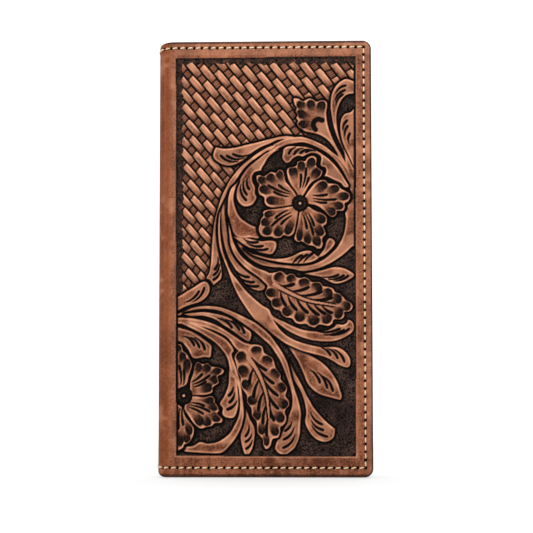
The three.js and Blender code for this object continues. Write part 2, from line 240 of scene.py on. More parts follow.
class Socket:
    """A shader value that can be used in Python expressions."""

    def __init__(self, shader: Shader, link: bpy.types.NodeSocket) -> None:
        """Keeps the value's shader and its output socket."""
        self.shader = shader
        self.link = link

    def _math(self, operation: str, first: Value, second: Value = 0.0) -> Socket:
        """One Math node on two values."""
        return self.shader.value("ShaderNodeMath", {"operation": operation}, {0: first, 1: second})

    def __add__(self, other: Value) -> Socket:
        """Sum of two values."""
        return self._math("ADD", self, other)

    __radd__ = __add__

    def __sub__(self, other: Value) -> Socket:
        """This value less another."""
        return self._math("SUBTRACT", self, other)

    def __rsub__(self, other: Value) -> Socket:
        """Another value less this one."""
        return self._math("SUBTRACT", other, self)

    def __mul__(self, other: Value) -> Socket:
        """Product of two values."""
        return self._math("MULTIPLY", self, other)

    __rmul__ = __mul__

    def __abs__(self) -> Socket:
        """Size of the value without its sign."""
        return self._math("ABSOLUTE", self)

    def wave(self) -> Socket:
        """Sine of the value, from 0 to 1."""
        return self._math("SINE", self) * 0.5 + 0.5

    def step(self, low: float, high: float) -> Socket:
        """Smooth step of the value, from 0 at low to 1 at high."""
        span = {"Value": self, "From Min": low, "From Max": high}
        return self.shader.value("ShaderNodeMapRange", {"interpolation_type": "SMOOTHSTEP"}, span)


Value = Union[Socket, float, str, Sequence[float]]


class Shader:
    """One node material, built node by node."""

    def __init__(self, name: str) -> None:
        """Starts an empty material.

        Args:
            name: The material's name.
        """
        self.material = bpy.data.materials.new(name)
        self.material.use_nodes = True
        self.tree = self.material.node_tree
        self.tree.nodes.clear()

    @staticmethod
    def pick(sockets: Sequence[bpy.types.NodeSocket], key: int | str) -> bpy.types.NodeSocket:
        """The socket with an index, or the first one in use with a name or an identifier."""
        named = (s for s in sockets if s.enabled and key in (s.identifier, s.name))
        return sockets[key] if isinstance(key, int) else next(named)

    def node(self, kind: str, settings: dict[str, Any] | None = None,
             sockets: dict[Any, Value] | None = None) -> bpy.types.Node:
        """Adds any node.

        Args:
            kind: The node's type.
            settings: The node's own settings, which are set first.
            sockets: Values, colour codes or links of its inputs, by index, name or identifier.

        Returns:
            The new node.
        """
        made = self.tree.nodes.new(kind)
        for key, value in (settings or {}).items():
            setattr(made, key, value)
        for key, value in (sockets or {}).items():
            put = self.pick(made.inputs, key)
            if isinstance(value, Socket):
                self.tree.links.new(value.link, put)
            else:
                put.default_value = hex_colour(value) if isinstance(value, str) else value
        return made

    def value(self, kind: str, settings: dict[str, Any] | None = None,
              sockets: dict[Any, Value] | None = None, output: int | str = 0) -> Socket:
        """One output of a new node, by index, name or identifier."""
        return Socket(self, self.pick(self.node(kind, settings, sockets).outputs, output))

    def mix(self, share: Value, first: Value, second: Value) -> Socket:
        """Colour between two colours."""
        inputs = {"Factor_Float": share, "A_Color": first, "B_Color": second}
        return self.value("ShaderNodeMix", {"data_type": "RGBA"}, inputs, "Result_Color")

    def place(self, stretch: Sequence[float] = (1.0, 1.0, 1.0)) -> Socket:
        """Place on the piece in metres, stretched along each axis."""
        where = self.value("ShaderNodeTexCoord", output="Object")
        return self.value("ShaderNodeVectorMath", {"operation": "MULTIPLY"}, {0: where, 1: stretch})

    def axis(self, name: str) -> Socket:
        """One coordinate of the place on the piece, in millimetres."""
        return self.value("ShaderNodeSeparateXYZ", None, {"Vector": self.place((1 / MM,) * 3)}, name)

    def noise(self, scale: float, detail: float = 3.0, stretch: Sequence[float] = (1.0, 1.0, 1.0),
              warp: float = 0.0) -> Socket:
        """Soft noise from 0 to 1, with a number of lumps per metre.

        Args:
            scale: Lumps per metre.
            detail: Levels of finer lumps.
            stretch: Stretch along each axis.
            warp: How far the lumps swirl.

        Returns:
            The noise.
        """
        inputs = {"Vector": self.place(stretch), "Scale": scale, "Detail": detail, "Roughness": 0.6,
                  "Distortion": warp}
        return self.value("ShaderNodeTexNoise", None, inputs)

    def cells(self, scale: float) -> Socket:
        """Distance to the nearest of many scattered points, for leather pebbles."""
        return self.value("ShaderNodeTexVoronoi", None, {"Vector": self.place(), "Scale": scale}, "Distance")

    def attribute(self, name: str) -> Socket:
        """A value stored on the mesh."""
        return self.value("ShaderNodeAttribute", {"attribute_name": name}, output="Fac")

    def bump(self, height: Socket, strength: float, distance: float) -> Socket:
        """Normal bent by a height."""
        inputs = {"Height": height, "Strength": strength, "Distance": distance}
        return self.value("ShaderNodeBump", None, inputs, "Normal")

    def surface(self, **sockets: Value) -> bpy.types.Material:
        """Ends the material in one surface shader.

        Args:
            **sockets: Values or links of the shader's inputs, with underscores for spaces.

        Returns:
            The finished material.
        """
        named = {key.replace("_", " "): value for key, value in sockets.items()}
        shader = self.value("ShaderNodeBsdfPrincipled", None, named)
        self.node("ShaderNodeOutputMaterial", {"is_active_output": True}, {"Surface": shader})
        return self.material


@dataclass(frozen=True)
class Leather:
    """Vegetable-tanned leather: mottled, with fine grain, stain in its cuts and painted edges."""

    name: str
    brown: str
    deep: str
    tan: str
    ember: str
    antique: str
    soot: str
    paint: str
    roughness: float
    grain: float

    def dress(self) -> bpy.types.Material:
        """Builds the leather's material.

        Returns:
            A material that reads the stain, light and rim stored on a mesh, where it has them.
        """
        sh = Shader(self.name)
        stain = sh.attribute("stain")
        light = sh.attribute("light")
        rim = sh.attribute("rim")
        cloud = sh.noise(60.0, 3.0)
        streak = sh.noise(260.0, 4.0, (1.0, 1.0, 0.45))
        grain = sh.noise(1150.0, 3.0)
        matting = sh.cells(1250.0)
        hide = sh.mix((cloud * 0.3 + streak * 0.35 + grain * 0.5).step(0.48, 0.67), self.brown, self.deep)
        hide = sh.mix(sh.attribute("warm"), hide, self.ember)
        # Painted highlight: the stored light share lifts the hide towards its lightest brown along raised edges,
        # ridges and lit strand sides, and also carries lighter tone of the hide.
        hide = sh.mix(light * (0.3 + 1.3 * grain), hide, self.tan)
        waves = sh.noise(620.0, 1.0, warp=1.8)
        lines = (1 - abs(waves - 0.5) * 8) * 0.8 + grain * 0.5
        dye = sh.mix(sh.attribute("mat") * lines.step(0.35, 1.05), self.antique, self.soot)
        hide = sh.mix((stain + (grain - 0.5) * 0.5 * stain).step(0.0, 0.9), hide, dye)
        # Dark edge paint; on the cover's foot its wider band is partly painted shade.
        colour = sh.mix(rim, hide, self.paint)
        height = streak * 0.5 + grain * 0.6 + matting * (0.2 + stain)
        gloss = self.roughness + 0.14 * cloud + 0.2 * stain
        wax = 0.16 * (1 - stain) * (1 - rim)
        return sh.surface(Base_Color=colour, Roughness=gloss, Coat_Weight=wax, Coat_Roughness=0.34,
                          Specular_IOR_Level=0.05, Normal=sh.bump(height, self.grain, 0.0004))


@dataclass(frozen=True)
class Cloth:
    """Woven cloth: two sets of threads and a dull sheen."""

    name: str
    warp: str
    weft: str
    pitch: float
    twill: bool

    def dress(self) -> bpy.types.Material:
        """Builds the cloth's material from its thread pitch in millimetres.

        Returns:
            The material.
        """
        sh = Shader(self.name)
        turn = 2 * math.pi / self.pitch
        across, along = sh.axis("X"), sh.axis("Z")
        lean = along + across if self.twill else along
        weave = ((across * turn).wave() + (lean * turn).wave()) * 0.5
        fuzz = sh.noise(2600.0, 2.0)
        colour = sh.mix((weave * 0.7 + fuzz * 0.4).step(0.2, 0.9), self.warp, self.weft)
        return sh.surface(Base_Color=colour, Roughness=0.86, Specular_IOR_Level=0.15, Sheen_Weight=0.06,
                          Sheen_Roughness=0.5, Normal=sh.bump(weave + fuzz * 0.4, 0.55, 0.0002))


@dataclass(frozen=True)
class Thread:
    """Waxed thread: two plies twisted along the stitch."""

    name: str
    cream: str
    shade: str

    def dress(self) -> bpy.types.Material:
        """Builds the thread's material, with its twist stored on the mesh.

        Returns:
            The material.
        """
        sh = Shader(self.name)
        ply = (sh.attribute("twist") * (2 * math.pi)).wave()
        fuzz = sh.noise(3000.0, 2.0)
        colour = sh.mix((ply * 0.55 + fuzz * 0.6).step(0.1, 0.8), self.shade, self.cream)
        return sh.surface(Base_Color=colour, Roughness=0.55, Sheen_Weight=0.15,
                          Normal=sh.bump(ply + fuzz * 0.5, 0.6, 0.0002))


@dataclass(frozen=True)
class Brass:
    """Lightly aged brass with fine scratches."""

    name: str
    bright: str
    aged: str

    def dress(self) -> bpy.types.Material:
        """Builds the brass's material.

        Returns:
            The material.
        """
        sh = Shader(self.name)
        patch = sh.noise(420.0, 4.0)
        scratch = sh.noise(5200.0, 2.0, (1.0, 1.0, 0.06))
        colour = sh.mix(patch.step(0.4, 0.75), self.bright, self.aged)
        return sh.surface(Base_Color=colour, Metallic=1.0, Roughness=0.22 + 0.2 * patch + 0.1 * scratch,
                          Normal=sh.bump(scratch, 0.12, 0.0001))


@dataclass(frozen=True)
class Film:
    """Clear flexible film with faint scuffs."""

    name: str
    tint: str

    def dress(self) -> bpy.types.Material:
        """Builds the film's material.

        Returns:
            The material.
        """
        sh = Shader(self.name)
        scuff = sh.noise(300.0, 5.0, (1.0, 1.0, 0.3))
        haze = 0.07 + 0.05 * scuff.step(0.45, 0.8)
        return sh.surface(Base_Color=self.tint, Roughness=0.06 + 0.1 * scuff, Alpha=haze,
                          Specular_IOR_Level=0.6, Normal=sh.bump(scuff, 0.08, 0.0004))


# Each leather's tan is the colour of its painted highlights and of its lighter tone.
TOOLED = Leather("tooled_hide", brown="91573C", deep="562B18", tan="E0A07D", ember="763812",
                 antique="060404", soot="553F36", paint="180D09", roughness=0.46, grain=0.3)
PLAIN = Leather("plain_hide", brown="8C5236", deep="703F28", tan="B98564", ember="8A4A2A",
                antique="140D0B", soot="3A2B25", paint="1A0F0B", roughness=0.46, grain=0.3)
POCKET = Leather("pocket_hide", brown="7C4830", deep="683A26", tan="A06A48", ember="7C4526",
                 antique="1E1613", soot="2C201B", paint="24150F", roughness=0.5, grain=0.26)
CREAM = Thread("waxed_thread", cream="EFD6B0", shade="C9A06F")
LINING = Cloth("lining_cloth", warp="3A2519", weft="4E3424", pitch=0.45, twill=False)
TWILL = Cloth("zip_twill", warp="2B1B13", weft="3D291D", pitch=0.7, twill=True)
BRASS = Brass("aged_brass", bright="C9A04F", aged="8E6A33")
CLEAR = Film("clear_film", tint="E8ECEC")


# A knife cut: column and row of its head, then of its tail, and where it differs from its shape's, its bow.
Cut = tuple[float, ...]
# A pressed dent: column, row, half width and half length.
Dent = tuple[float, float, float, float]


@dataclass(frozen=True)
class Carving:
    """One raised shape of the tooling, in photo pixels.

    Attributes:
        name: What the shape is.
        outline: Points of its outline; a point given twice is a corner.
        joined: Outlines of what grows out of it.
        cuts: Knife cuts in it.
        hollows: Dents in it.
        rib: Points along its rib.
        kidney: Points along a bent stamp in it.
        heart: Point that the dents fade towards.
        bow: Bend of the cuts, as a share of their length.
        blade: Width of the cuts.
        level: Height of its face, in millimetres.
        tone: Stain added to its face.
        edge: Width of the black line round it.
        bevel: Width of the bevel round it.
        fades: Reach from its first point within which line and bevel fade out.
    """

    name: str
    outline: Line
    joined: Sequence[Line] = ()
    cuts: Sequence[Cut] = ()
    hollows: Sequence[Dent] = ()
    rib: Line = ()
    kidney: Line = ()
    heart: Point = (0.0, 0.0)
    bow: float = 0.1
    blade: float = 2.1
    level: float = -0.1
    tone: float = 0.0
    edge: float = 1.6
    bevel: float = 5.4
    fades: float = 0.0


def smooth(x: Array | float, low: float, high: float) -> Array:
    """Smooth step from 0 at low to 1 at high; low may be the larger."""
    t = np.clip((x - low) / (high - low), 0, 1)
    return t * t * (3 - 2 * t)


def curve_through(points: Line, closed: bool, steps: int = 5) -> Array:
    """Smooth curve through points; a point given twice makes a corner.

    Args:
        points: The points, in order.
        closed: Whether the last point leads back to the first.
        steps: Pieces between two points.

    Returns:
        Points along the curve.
    """
    given = np.array(points, float)
    count = len(given)
    t = np.linspace(0, 1, steps, endpoint=False)[:, None]
    runs = []
    for k in range(count if closed else count - 1):
        ends = [k + d for d in (-1, 0, 1, 2)]
        ends = [e % count if closed else min(max(e, 0), count - 1) for e in ends]
        before, start, end, after = given[ends]
        if np.allclose(start, end):
            continue
        leave = (end - start) / 2 if np.allclose(before, start) else (end - before) / 2
        arrive = (end - start) / 2 if np.allclose(end, after) else (after - start) / 2
        run = (2 * t**3 - 3 * t**2 + 1) * start + (t**3 - 2 * t**2 + t) * leave
        runs.append(run + (3 * t**2 - 2 * t**3) * end + (t**3 - t**2) * arrive)
    if not closed:
        runs.append(given[-1:])
    return np.concatenate(runs)


def outline_distance(x: Array, y: Array, outline: Array) -> Array:
    """Distance to a closed outline, positive inside it.

    Args:
        x: Photo columns.
        y: Photo rows.
        outline: Points of the outline.

    Returns:
        The distance at each point.
    """
    best = np.full(x.shape, 1e9)
    inside = np.zeros(x.shape, bool)
    for (ax, ay), (bx, by) in zip(outline, np.roll(outline, -1, axis=0)):
        dx, dy = bx - ax, by - ay
        length = dx * dx + dy * dy
        if length < 1e-12:
            continue
        t = np.clip(((x - ax) * dx + (y - ay) * dy) / length, 0, 1)
        best = np.minimum(best, (x - ax - t * dx) ** 2 + (y - ay - t * dy) ** 2)
        if ay != by:
            inside ^= ((ay > y) != (by > y)) & (x < dx * (y - ay) / dy + ax)
    return np.where(inside, 1, -1) * np.sqrt(best)


def line_distance(x: Array, y: Array, line: Array) -> tuple[Array, Array]:
    """Distance to an open line, and how far along the line its nearest point is, from 0 to 1.

    Args:
        x: Photo columns.
        y: Photo rows.
        line: Points of the line.

    Returns:
        The distance and the share at each point.
    """
    best = np.full(x.shape, 1e9)
    share = np.zeros(x.shape)
    count = len(line) - 1
    for k in range(count):
        (ax, ay), (dx, dy) = line[k], line[k + 1] - line[k]
        t = np.clip(((x - ax) * dx + (y - ay) * dy) / (dx * dx + dy * dy + 1e-12), 0, 1)
        away = (x - ax - t * dx) ** 2 + (y - ay - t * dy) ** 2
        near = away < best
        best = np.where(near, away, best)
        share = np.where(near, (k + t) / count, share)
    return np.sqrt(best), share


def lumps(x: Array, y: Array, size: float, seed: int) -> Array:
    """Smooth seeded noise from 0 to 1 with lumps of a size.

    Args:
        x: First coordinates.
        y: Second coordinates.
        size: Size of a lump.
        seed: Seed of the noise.

    Returns:
        The noise at each point.
    """
    repeat = 64
    table = np.random.default_rng(seed).random((repeat, repeat))
    u, v = x / size, y / size
    i, j = np.floor(u).astype(int), np.floor(v).astype(int)
    fu, fv = smooth(u - i, 0, 1), smooth(v - j, 0, 1)
    i, j, right, up = i % repeat, j % repeat, (i + 1) % repeat, (j + 1) % repeat
    low = table[i, j] * (1 - fu) + table[right, j] * fu
    high = table[i, up] * (1 - fu) + table[right, up] * fu
    return low * (1 - fv) + high * fv


Window = tuple[slice, slice]


@dataclass
class Weave:
    """Basketweave stamps: where they start, how they step, and their sizes, in photo pixels."""

    start: Point = (187.7, 74.4)
    step: Point = (14.37, 4.58)
    drop: Point = (3.49, 16.34)
    bend: tuple[Point, Point, Point] = ((0.093, 0.182), (-0.106, -0.032), (0.008, -0.023))
    strip: float = 7.9
    repeat: float = 27.5
    square: float = 4.1
    hatching: float = 1.8
    rounds: int = 7

    def stamp(self, x: Array, y: Array) -> tuple[Array, Array, Array]:
        """Height, stain with painted shade, and light with painted highlight and lighter fibres, of the weave.

        Args:
            x: Photo columns.
            y: Photo rows.

        Returns:
            Height in millimetres, stain with painted shade, and light with painted highlight and lighter fibres, each
            on the same grid.
        """
        s = (x - self.start[0]) / self.step[0]
        t = np.zeros_like(s)
        for _ in range(self.rounds):
            curve = [sum(a * b for a, b in zip(line, (s * s, s * t, t * t))) for line in zip(*self.bend)]
            t = (y - self.start[1] - self.step[1] * s - curve[1]) / self.drop[1]
            s = (x - self.start[0] - self.drop[0] * t - curve[0]) / self.step[0]
        stripe = np.round(s - t)
        across = (s - t - stripe) * self.strip
        turn = (s + t - stripe) / 2
        far = np.abs(turn - np.round(turn)) * self.repeat
        crossing = far < self.square
        along = turn - np.floor(turn)
        crown = smooth(far, self.square - 1.0, self.square + 4.5)
        edge = self.strip / 2 - np.abs(across) - np.where(crossing, 0.45, 0.35 * (1 - crown))
        groove = smooth(edge, 0.38, 1.15)
        seam = smooth(np.abs(far - self.square + 0.1), 0.28, 1.0)
        hatch = 0.5 + 0.5 * np.cos(2 * np.pi * (turn - np.round(turn)) * self.repeat / self.hatching)
        fibre = lumps(across * 1.7 + 40 * stripe, far * 0.25, size=1.0, seed=11)
        # Painted shade: each strand darkens towards its lower-right end, where it dips under the next crossing.
        dusk = smooth(along, 0.42, 0.9)
        # Painted highlight along each strand's upper-right edge.
        lit = smooth(across, 1.0, 2.7)
        arch = 0.36 * crown - 0.06 * (across / (self.strip / 2)) ** 2
        height = np.where(crossing, -0.5 + 0.07 * hatch, -0.44 + arch)
        height = height - 0.34 * (1 - groove) - 0.2 * (1 - seam)
        # A strand's stain: painted shade towards its end and along its lower-left side, and darker fibres.
        strand = 0.04 + 0.26 * dusk + 0.28 * (1 - fibre) + 0.1 * smooth(across, -0.5, -3.2)
        stain = np.where(crossing, 0.14 + 0.5 * (1 - hatch), strand)
        stain = np.maximum(stain, np.maximum(1 - groove, 1 - seam))
        # A strand's light: painted highlight on its upper-right edge and lighter fibres, dimmed by the painted shade
        # towards its end.
        glow = (0.1 + 0.6 * fibre + 0.9 * lit) * (1 - 0.75 * dusk)
        light = np.where(crossing, 0.14 * hatch, glow) * groove * seam
        return height, stain, light


@dataclass
class Bench:
    """Carves the tooled field: height, stain (with painted shade on the weave), light (painted highlight and
    lighter tone) and matting on a grid of photo columns and rows.

    Its sizes are heights and depths in millimetres, but the roll is the width in pixels of a rounded edge.
    """

    x: Array
    y: Array
    ground: float = -0.85
    undercut: float = 0.36
    shoulder: float = 0.34
    roll: float = 2.8
    knife: float = 0.4
    bent_stamp: float = 0.3
    trench: float = 0.24
    moat: float = 0.15

    def __post_init__(self) -> None:
        """Starts with the matted ground all over."""
        x, y = self.x, self.y
        self.columns, self.rows = x.mean(axis=0), y.mean(axis=1)
        grit, swell = lumps(x, y, size=1.1, seed=3), lumps(x, y, size=4.0, seed=5)
        self.height = self.ground + 0.14 * grit + 0.06 * swell
        self.stain = np.full(x.shape, 0.97)
        self.light = np.zeros(x.shape)
        self.mat = 0.2 + 0.75 * lumps(x, y, size=11.0, seed=31)

    def window(self, outline: Array, margin: float) -> Window:
        """Part of the grid that holds an outline and a margin round it.

        Args:
            outline: Points of the outline.
            margin: Width of the margin.

        Returns:
            The part's rows and columns.
        """
        low, high = outline.min(axis=0) - margin, outline.max(axis=0) + margin
        across = np.searchsorted(self.columns, [low[0], high[0]])
        down = np.searchsorted(self.rows, [low[1], high[1]])
        return slice(*down), slice(*across)

    def weave(self, region: Line) -> None:
        """Stamps the basketweave inside a region.

        Args:
            region: Outline of the region.
        """
        inside = outline_distance(self.x, self.y, np.array(region, float)) > 0
        for kept, made in zip((self.height, self.stain, self.light), Weave().stamp(self.x, self.y)):
            kept[inside] = made[inside]
        self.mat[inside] = 0

    def border_stamps(self, left: float, top: float, foot: float) -> None:
        """Row of dark, worn half-round stamps along the left and the top of the weave.

        Args:
            left: Photo column of the field's left edge.
            top: Photo row of the field's top edge.
            foot: Photo row where the left row ends.
        """
        worn = lumps(self.x, self.y, size=3.2, seed=17)
        fine = lumps(self.x, self.y, size=1.5, seed=19)
        rows = ((self.y, self.x - left, self.y < foot, 12.6), (self.x, self.y - top, self.x > 0, 11.2))
        for run, cross, limit, pitch in rows:
            phase = (run - 70) / pitch + 0.25 * worn
            reach = 6.6 - 0.9 * np.cos(2 * np.pi * phase) + 2.0 * (worn - 0.5)
            zone = (cross < reach) & limit
            away = (phase - np.round(phase)) * pitch / 4.4
            bump = np.clip(1 - ((cross - 3.8) / 3.2) ** 2 - away**2, 0, 1)
            self.height[zone] = (-0.72 + 0.3 * np.sqrt(bump) + 0.12 * fine)[zone]
            self.stain[zone] = (0.95 - 0.35 * bump * fine - 0.14 * fine)[zone]
            self.light[zone] = 0
            self.mat[zone] = 0.5

    def raise_shape(self, piece: Carving) -> tuple[Window, Array]:
        """Bevels down what lies round a shape, and raises the shape itself.

        Args:
            piece: The shape.

        Returns:
            The part of the grid, and the distance inside the outline there.
        """
        outlines = [curve_through(line, True) for line in (piece.outline, *piece.joined)]
        bevel = piece.bevel
        win = self.window(np.concatenate(outlines), bevel + 4)
        x, y = self.x[win], self.y[win]
        inside = np.maximum.reduce([outline_distance(x, y, line) for line in outlines])
        tip = piece.outline[0]
        fade = smooth(np.hypot(x - tip[0], y - tip[1]), 0.05 * piece.fades - 0.1, piece.fades)
        height, stain, light, mat = self.height[win], self.stain[win], self.light[win], self.mat[win]
        near = np.clip(1 + inside / bevel, 0, 1)
        out = inside <= 0
        height[out] -= (self.undercut * fade * near**2)[out]
        black = fade**0.5 * smooth(-inside, piece.edge + 1.4, piece.edge - 0.4)
        stain[out] = np.maximum(stain, np.maximum(black, 0.85 * fade * near**1.3))[out]
        light[out] *= (1 - fade * near)[out]
        mat[out] *= (1 - black)[out]
        mat[inside > 0] = 0
        run = np.clip(inside / self.roll, 0, 1)
        patch, fine = lumps(x, y, size=8.0, seed=23), lumps(x, y, size=1.7, seed=29)
        on = ~out
        height[on] = (piece.level - self.shoulder * (1 - np.sqrt(run * (2 - run))) + 0.02 * fine)[on]
        body = 0.1 + piece.tone + 0.14 * smooth(patch, 0.35, 0.9) + 0.2 * fine
        stain[on] = np.maximum(body * smooth(inside, 0.6, 2.4), 0.9 * smooth(inside, 0.8, 0.0))[on]
        # Painted highlight in a band just inside the outline, where the edge rounds over, and in soft patches on the
        # shape's face.
        rim = smooth(inside, 0.3, 1.1) * smooth(inside, 3.0, 1.2)
        light[on] = (0.5 * rim + 0.5 * smooth(patch, 0.7, 0.15) * (0.4 + 0.6 * fine))[on]
        return win, inside

    def shade(self, pieces: Sequence[Carving], reach: float) -> None:
        """Blackens the ground in a band round shapes that belong together.

        Args:
            pieces: The shapes.
            reach: Width of the band.
        """
        outlines = [curve_through(piece.outline, True) for piece in pieces]
        win = self.window(np.concatenate(outlines), reach + 2)
        x, y = self.x[win], self.y[win]
        inside = np.maximum.reduce([outline_distance(x, y, line) for line in outlines])
        mask = smooth(-inside, reach + 0.8, reach - 1.2)
        self.press(win, mask, self.moat, stain=1.0)
        self.mat[win] *= 1 - mask

    def press(self, win: Window, mask: Array, depth: float, stain: float | Array) -> None:
        """Presses a soft mask into the leather and stains it.

        Args:
            win: Part of the grid.
            mask: The mask, from 0 to 1.
            depth: Depth in millimetres.
            stain: Stain, from 0 to 1.
        """
        self.height[win] -= depth * mask
        self.stain[win] = np.maximum(self.stain[win], stain * mask)
        self.light[win] *= 1 - mask

    def cut(self, win: Window, ends: Cut, bow: float, blade: float) -> None:
        """One knife cut, thick at its head and thin at its tail, with a light lip beside it.

        Args:
            win: Part of the grid that holds it.
            ends: Column and row of its head, then of its tail.
            bow: Sideways bend, as a share of its length.
            blade: Width at its head.
        """
        head, tail = np.array(ends[:2]), np.array(ends[2:])
        middle = (head + tail) / 2 + np.array([head[1] - tail[1], tail[0] - head[0]]) * -2.2 * bow
        t = np.linspace(0, 1, 9)[:, None]
        line = (1 - t) ** 2 * head + 2 * t * (1 - t) * middle + t**2 * tail
        away, share = line_distance(self.x[win], self.y[win], line)
        width = blade / 2 * np.sin(np.pi * np.clip(share, 0, 1) ** 0.45) ** 0.7 + 0.22
        # Painted highlight on the lip beside the cut.
        lip = smooth(away, width + 0.3, width + 0.9) * smooth(away, width + 2.4, width + 1.1)
        lip = lip * (share < 0.97) * (self.stain[win] < 0.5)
        self.light[win] = np.maximum(self.light[win], 0.45 * lip)
        self.press(win, smooth(away, width + 0.5, width - 0.3), self.knife, stain=1.0)

    def hollow(self, win: Window, dent: Dent, heart: Point, inside: Array) -> None:
        """One pear-shaped dent: deep and dark at its outer end, fading towards the heart.

        Args:
            win: Part of the grid that holds it.
            dent: Column, row, half width and half length.
            heart: Point that the dent fades towards.
            inside: Distance inside the shape's outline.
        """
        x, y = self.x[win] - dent[0], self.y[win] - dent[1]
        turn = math.atan2(dent[1] - heart[1], dent[0] - heart[0]) - math.pi / 2
        u = (x * math.cos(turn) + y * math.sin(turn)) / (1.22 * dent[2])
        v = (y * math.cos(turn) - x * math.sin(turn)) / (1.22 * dent[3])
        away = np.sqrt(u * u + np.where(v > 0, v, 0.42 * v) ** 2)
        mask = smooth(away, 1.1, 0.72) * smooth(v, -2.3, 0.1)
        # Painted highlight on the ridge round the dent.
        ridge = smooth(away, 1.0, 1.18) * smooth(away, 1.55, 1.25) * (inside > 0.6) * smooth(v, -0.9, 0.2)
        self.light[win] = np.maximum(self.light[win], 0.7 * ridge)
        shade = 0.8 + 0.2 * smooth(away, 0.5, 0.85) * smooth(v, -0.6, 0.3)
        self.press(win, mask * smooth(inside, 0.5, 1.4), self.knife, shade)

    def rib(self, win: Window, points: Line, level: float, inside: Array) -> None:
        """A raised rib with a dark cut on each side.

        Args:
            win: Part of the grid that holds it.
            points: Points along the rib.
            level: Height of the shape that it lies on.
            inside: Distance inside the shape's outline.
        """
        away, share = line_distance(self.x[win], self.y[win], curve_through(points, False))
        width = 2.3 - 1.1 * share
        ridge = smooth(away, width, width - 0.9)
        ends = smooth(share, 0.0, 0.06) * smooth(share, 1.0, 0.97)
        trench = smooth(away, width + 2.0, width + 0.4) * (1 - ridge) * ends * smooth(share, 0.02, 0.22)
        self.press(win, trench * (inside > 1), self.trench, stain=1.0)
        on = ridge * ends > 0.5
        self.stain[win][on] = 0.1
        # Painted highlight on the raised rib.
        self.light[win][on] = 0.4
        self.height[win][on] = level + 0.03

    def carve(self, piece: Carving) -> None:
        """Raises one shape and works its hollows, cuts, kidney and rib.

        Args:
            piece: The shape.
        """
        LOG.debug("carving the %s", piece.name)
        win, inside = self.raise_shape(piece)
        for dent in piece.hollows:
            self.hollow(win, dent, piece.heart, inside)
        for ends in piece.cuts:
            self.cut(win, ends[:4], ends[4] if len(ends) > 4 else piece.bow, piece.blade)
        if piece.kidney:
            away, _ = line_distance(self.x[win], self.y[win], curve_through(piece.kidney, False))
            self.press(win, smooth(away, 3.4, 1.9), self.bent_stamp, stain=0.93)
        if piece.rib:
            self.rib(win, piece.rib, piece.level, inside)

    def seed(self, centre: Point, radius: float, count: int = 12) -> None:
        """Stamped flower centre: dark, beaded, with a bright dot.

        Args:
            centre: Column and row of its middle.
            radius: Its radius.
            count: Number of its beads.
        """
        x, y = self.x - centre[0], self.y - centre[1]
        away, turn = np.hypot(x, y), np.arctan2(y, x)
        beads = (0.5 + 0.5 * np.cos(count * turn)) * np.exp(-((away - 0.62 * radius) / 1.2) ** 2)
        moat = np.exp(-((away - radius) / 0.9) ** 2)
        dot = smooth(away, 1.7, 0.8)
        zone = away < radius + 0.8
        self.height[zone] = (-0.35 + 0.12 * beads - 0.2 * moat + 0.25 * dot)[zone]
        self.stain[zone] = ((0.92 - 0.3 * beads) * (1 - dot) + 0.05 * dot)[zone]
        self.light[zone] = dot[zone]
        self.mat[zone] = 0

    def border(self, depth: Array) -> None:
        """Rolls the field's edge up to the plain border, with a dark line along it.

        Args:
            depth: Distance from each point to the field's edge, in photo pixels.
        """
        self.height *= smooth(depth, 0.0, 1.8)
        self.stain = np.maximum(self.stain, smooth(depth, 3.2, 1.4))
        self.light *= smooth(depth, 0.8, 2.4)


# Hearts of the upper and of the lower flower.
HEART_1 = (300.2, 205.0)
HEART_2 = (183.7, 396.6)

# Outline of the basketweave.
WEAVE = [(176, 57), (356, 55), (356, 82), (343, 84), (335, 95), (333, 110), (318, 108), (300, 106),
         (300, 125), (310, 138), (296, 139), (270, 145), (240, 155), (225, 158), (240, 166), (250, 163),
         (240, 172), (232, 182), (224, 198), (219, 212), (216, 235), (215, 255), (213, 275), (208, 284),
         (196, 292), (184, 300), (176, 305)]

# The two leaves at the lower right.
LEAVES = [
    Carving("bent_leaf", [
        (272, 336), (286.8, 347.2), (296, 360), (299, 365.4), (303.6, 375.3), (307.4, 384.5),
        (313.6, 391.4), (321.2, 396), (330.4, 398.6), (340.3, 401.3), (340.3, 401.3), (342.2, 397.5),
        (340.3, 390.6), (337.3, 382.2), (332, 373.8), (325, 366), (316.6, 360), (298.3, 350.5), (285, 344)],
        cuts=[(320.2, 384.6, 310, 371), (327.3, 389.5, 317, 373.2), (333.1, 392.6, 322.4, 377)],
        bow=-0.1),
    Carving("hooked_leaf", [
        (293, 379), (299.8, 390.6), (304.4, 402.8), (306, 413.6), (305, 422.7), (309, 432), (315, 438.8),
        (322.7, 442.2), (329, 441.5), (334.2, 437.3), (335.4, 429), (335.4, 429), (329, 424.3),
        (321.2, 416.6), (313.6, 407.4), (307.4, 396.7), (301.3, 384.5), (295.2, 373.8), (289, 362)],
        cuts=[(322.9, 425.1, 310.6, 412.8), (324.2, 430.6, 311, 420.6), (328, 437, 311.9, 425.8)],
        bow=0.12),
]

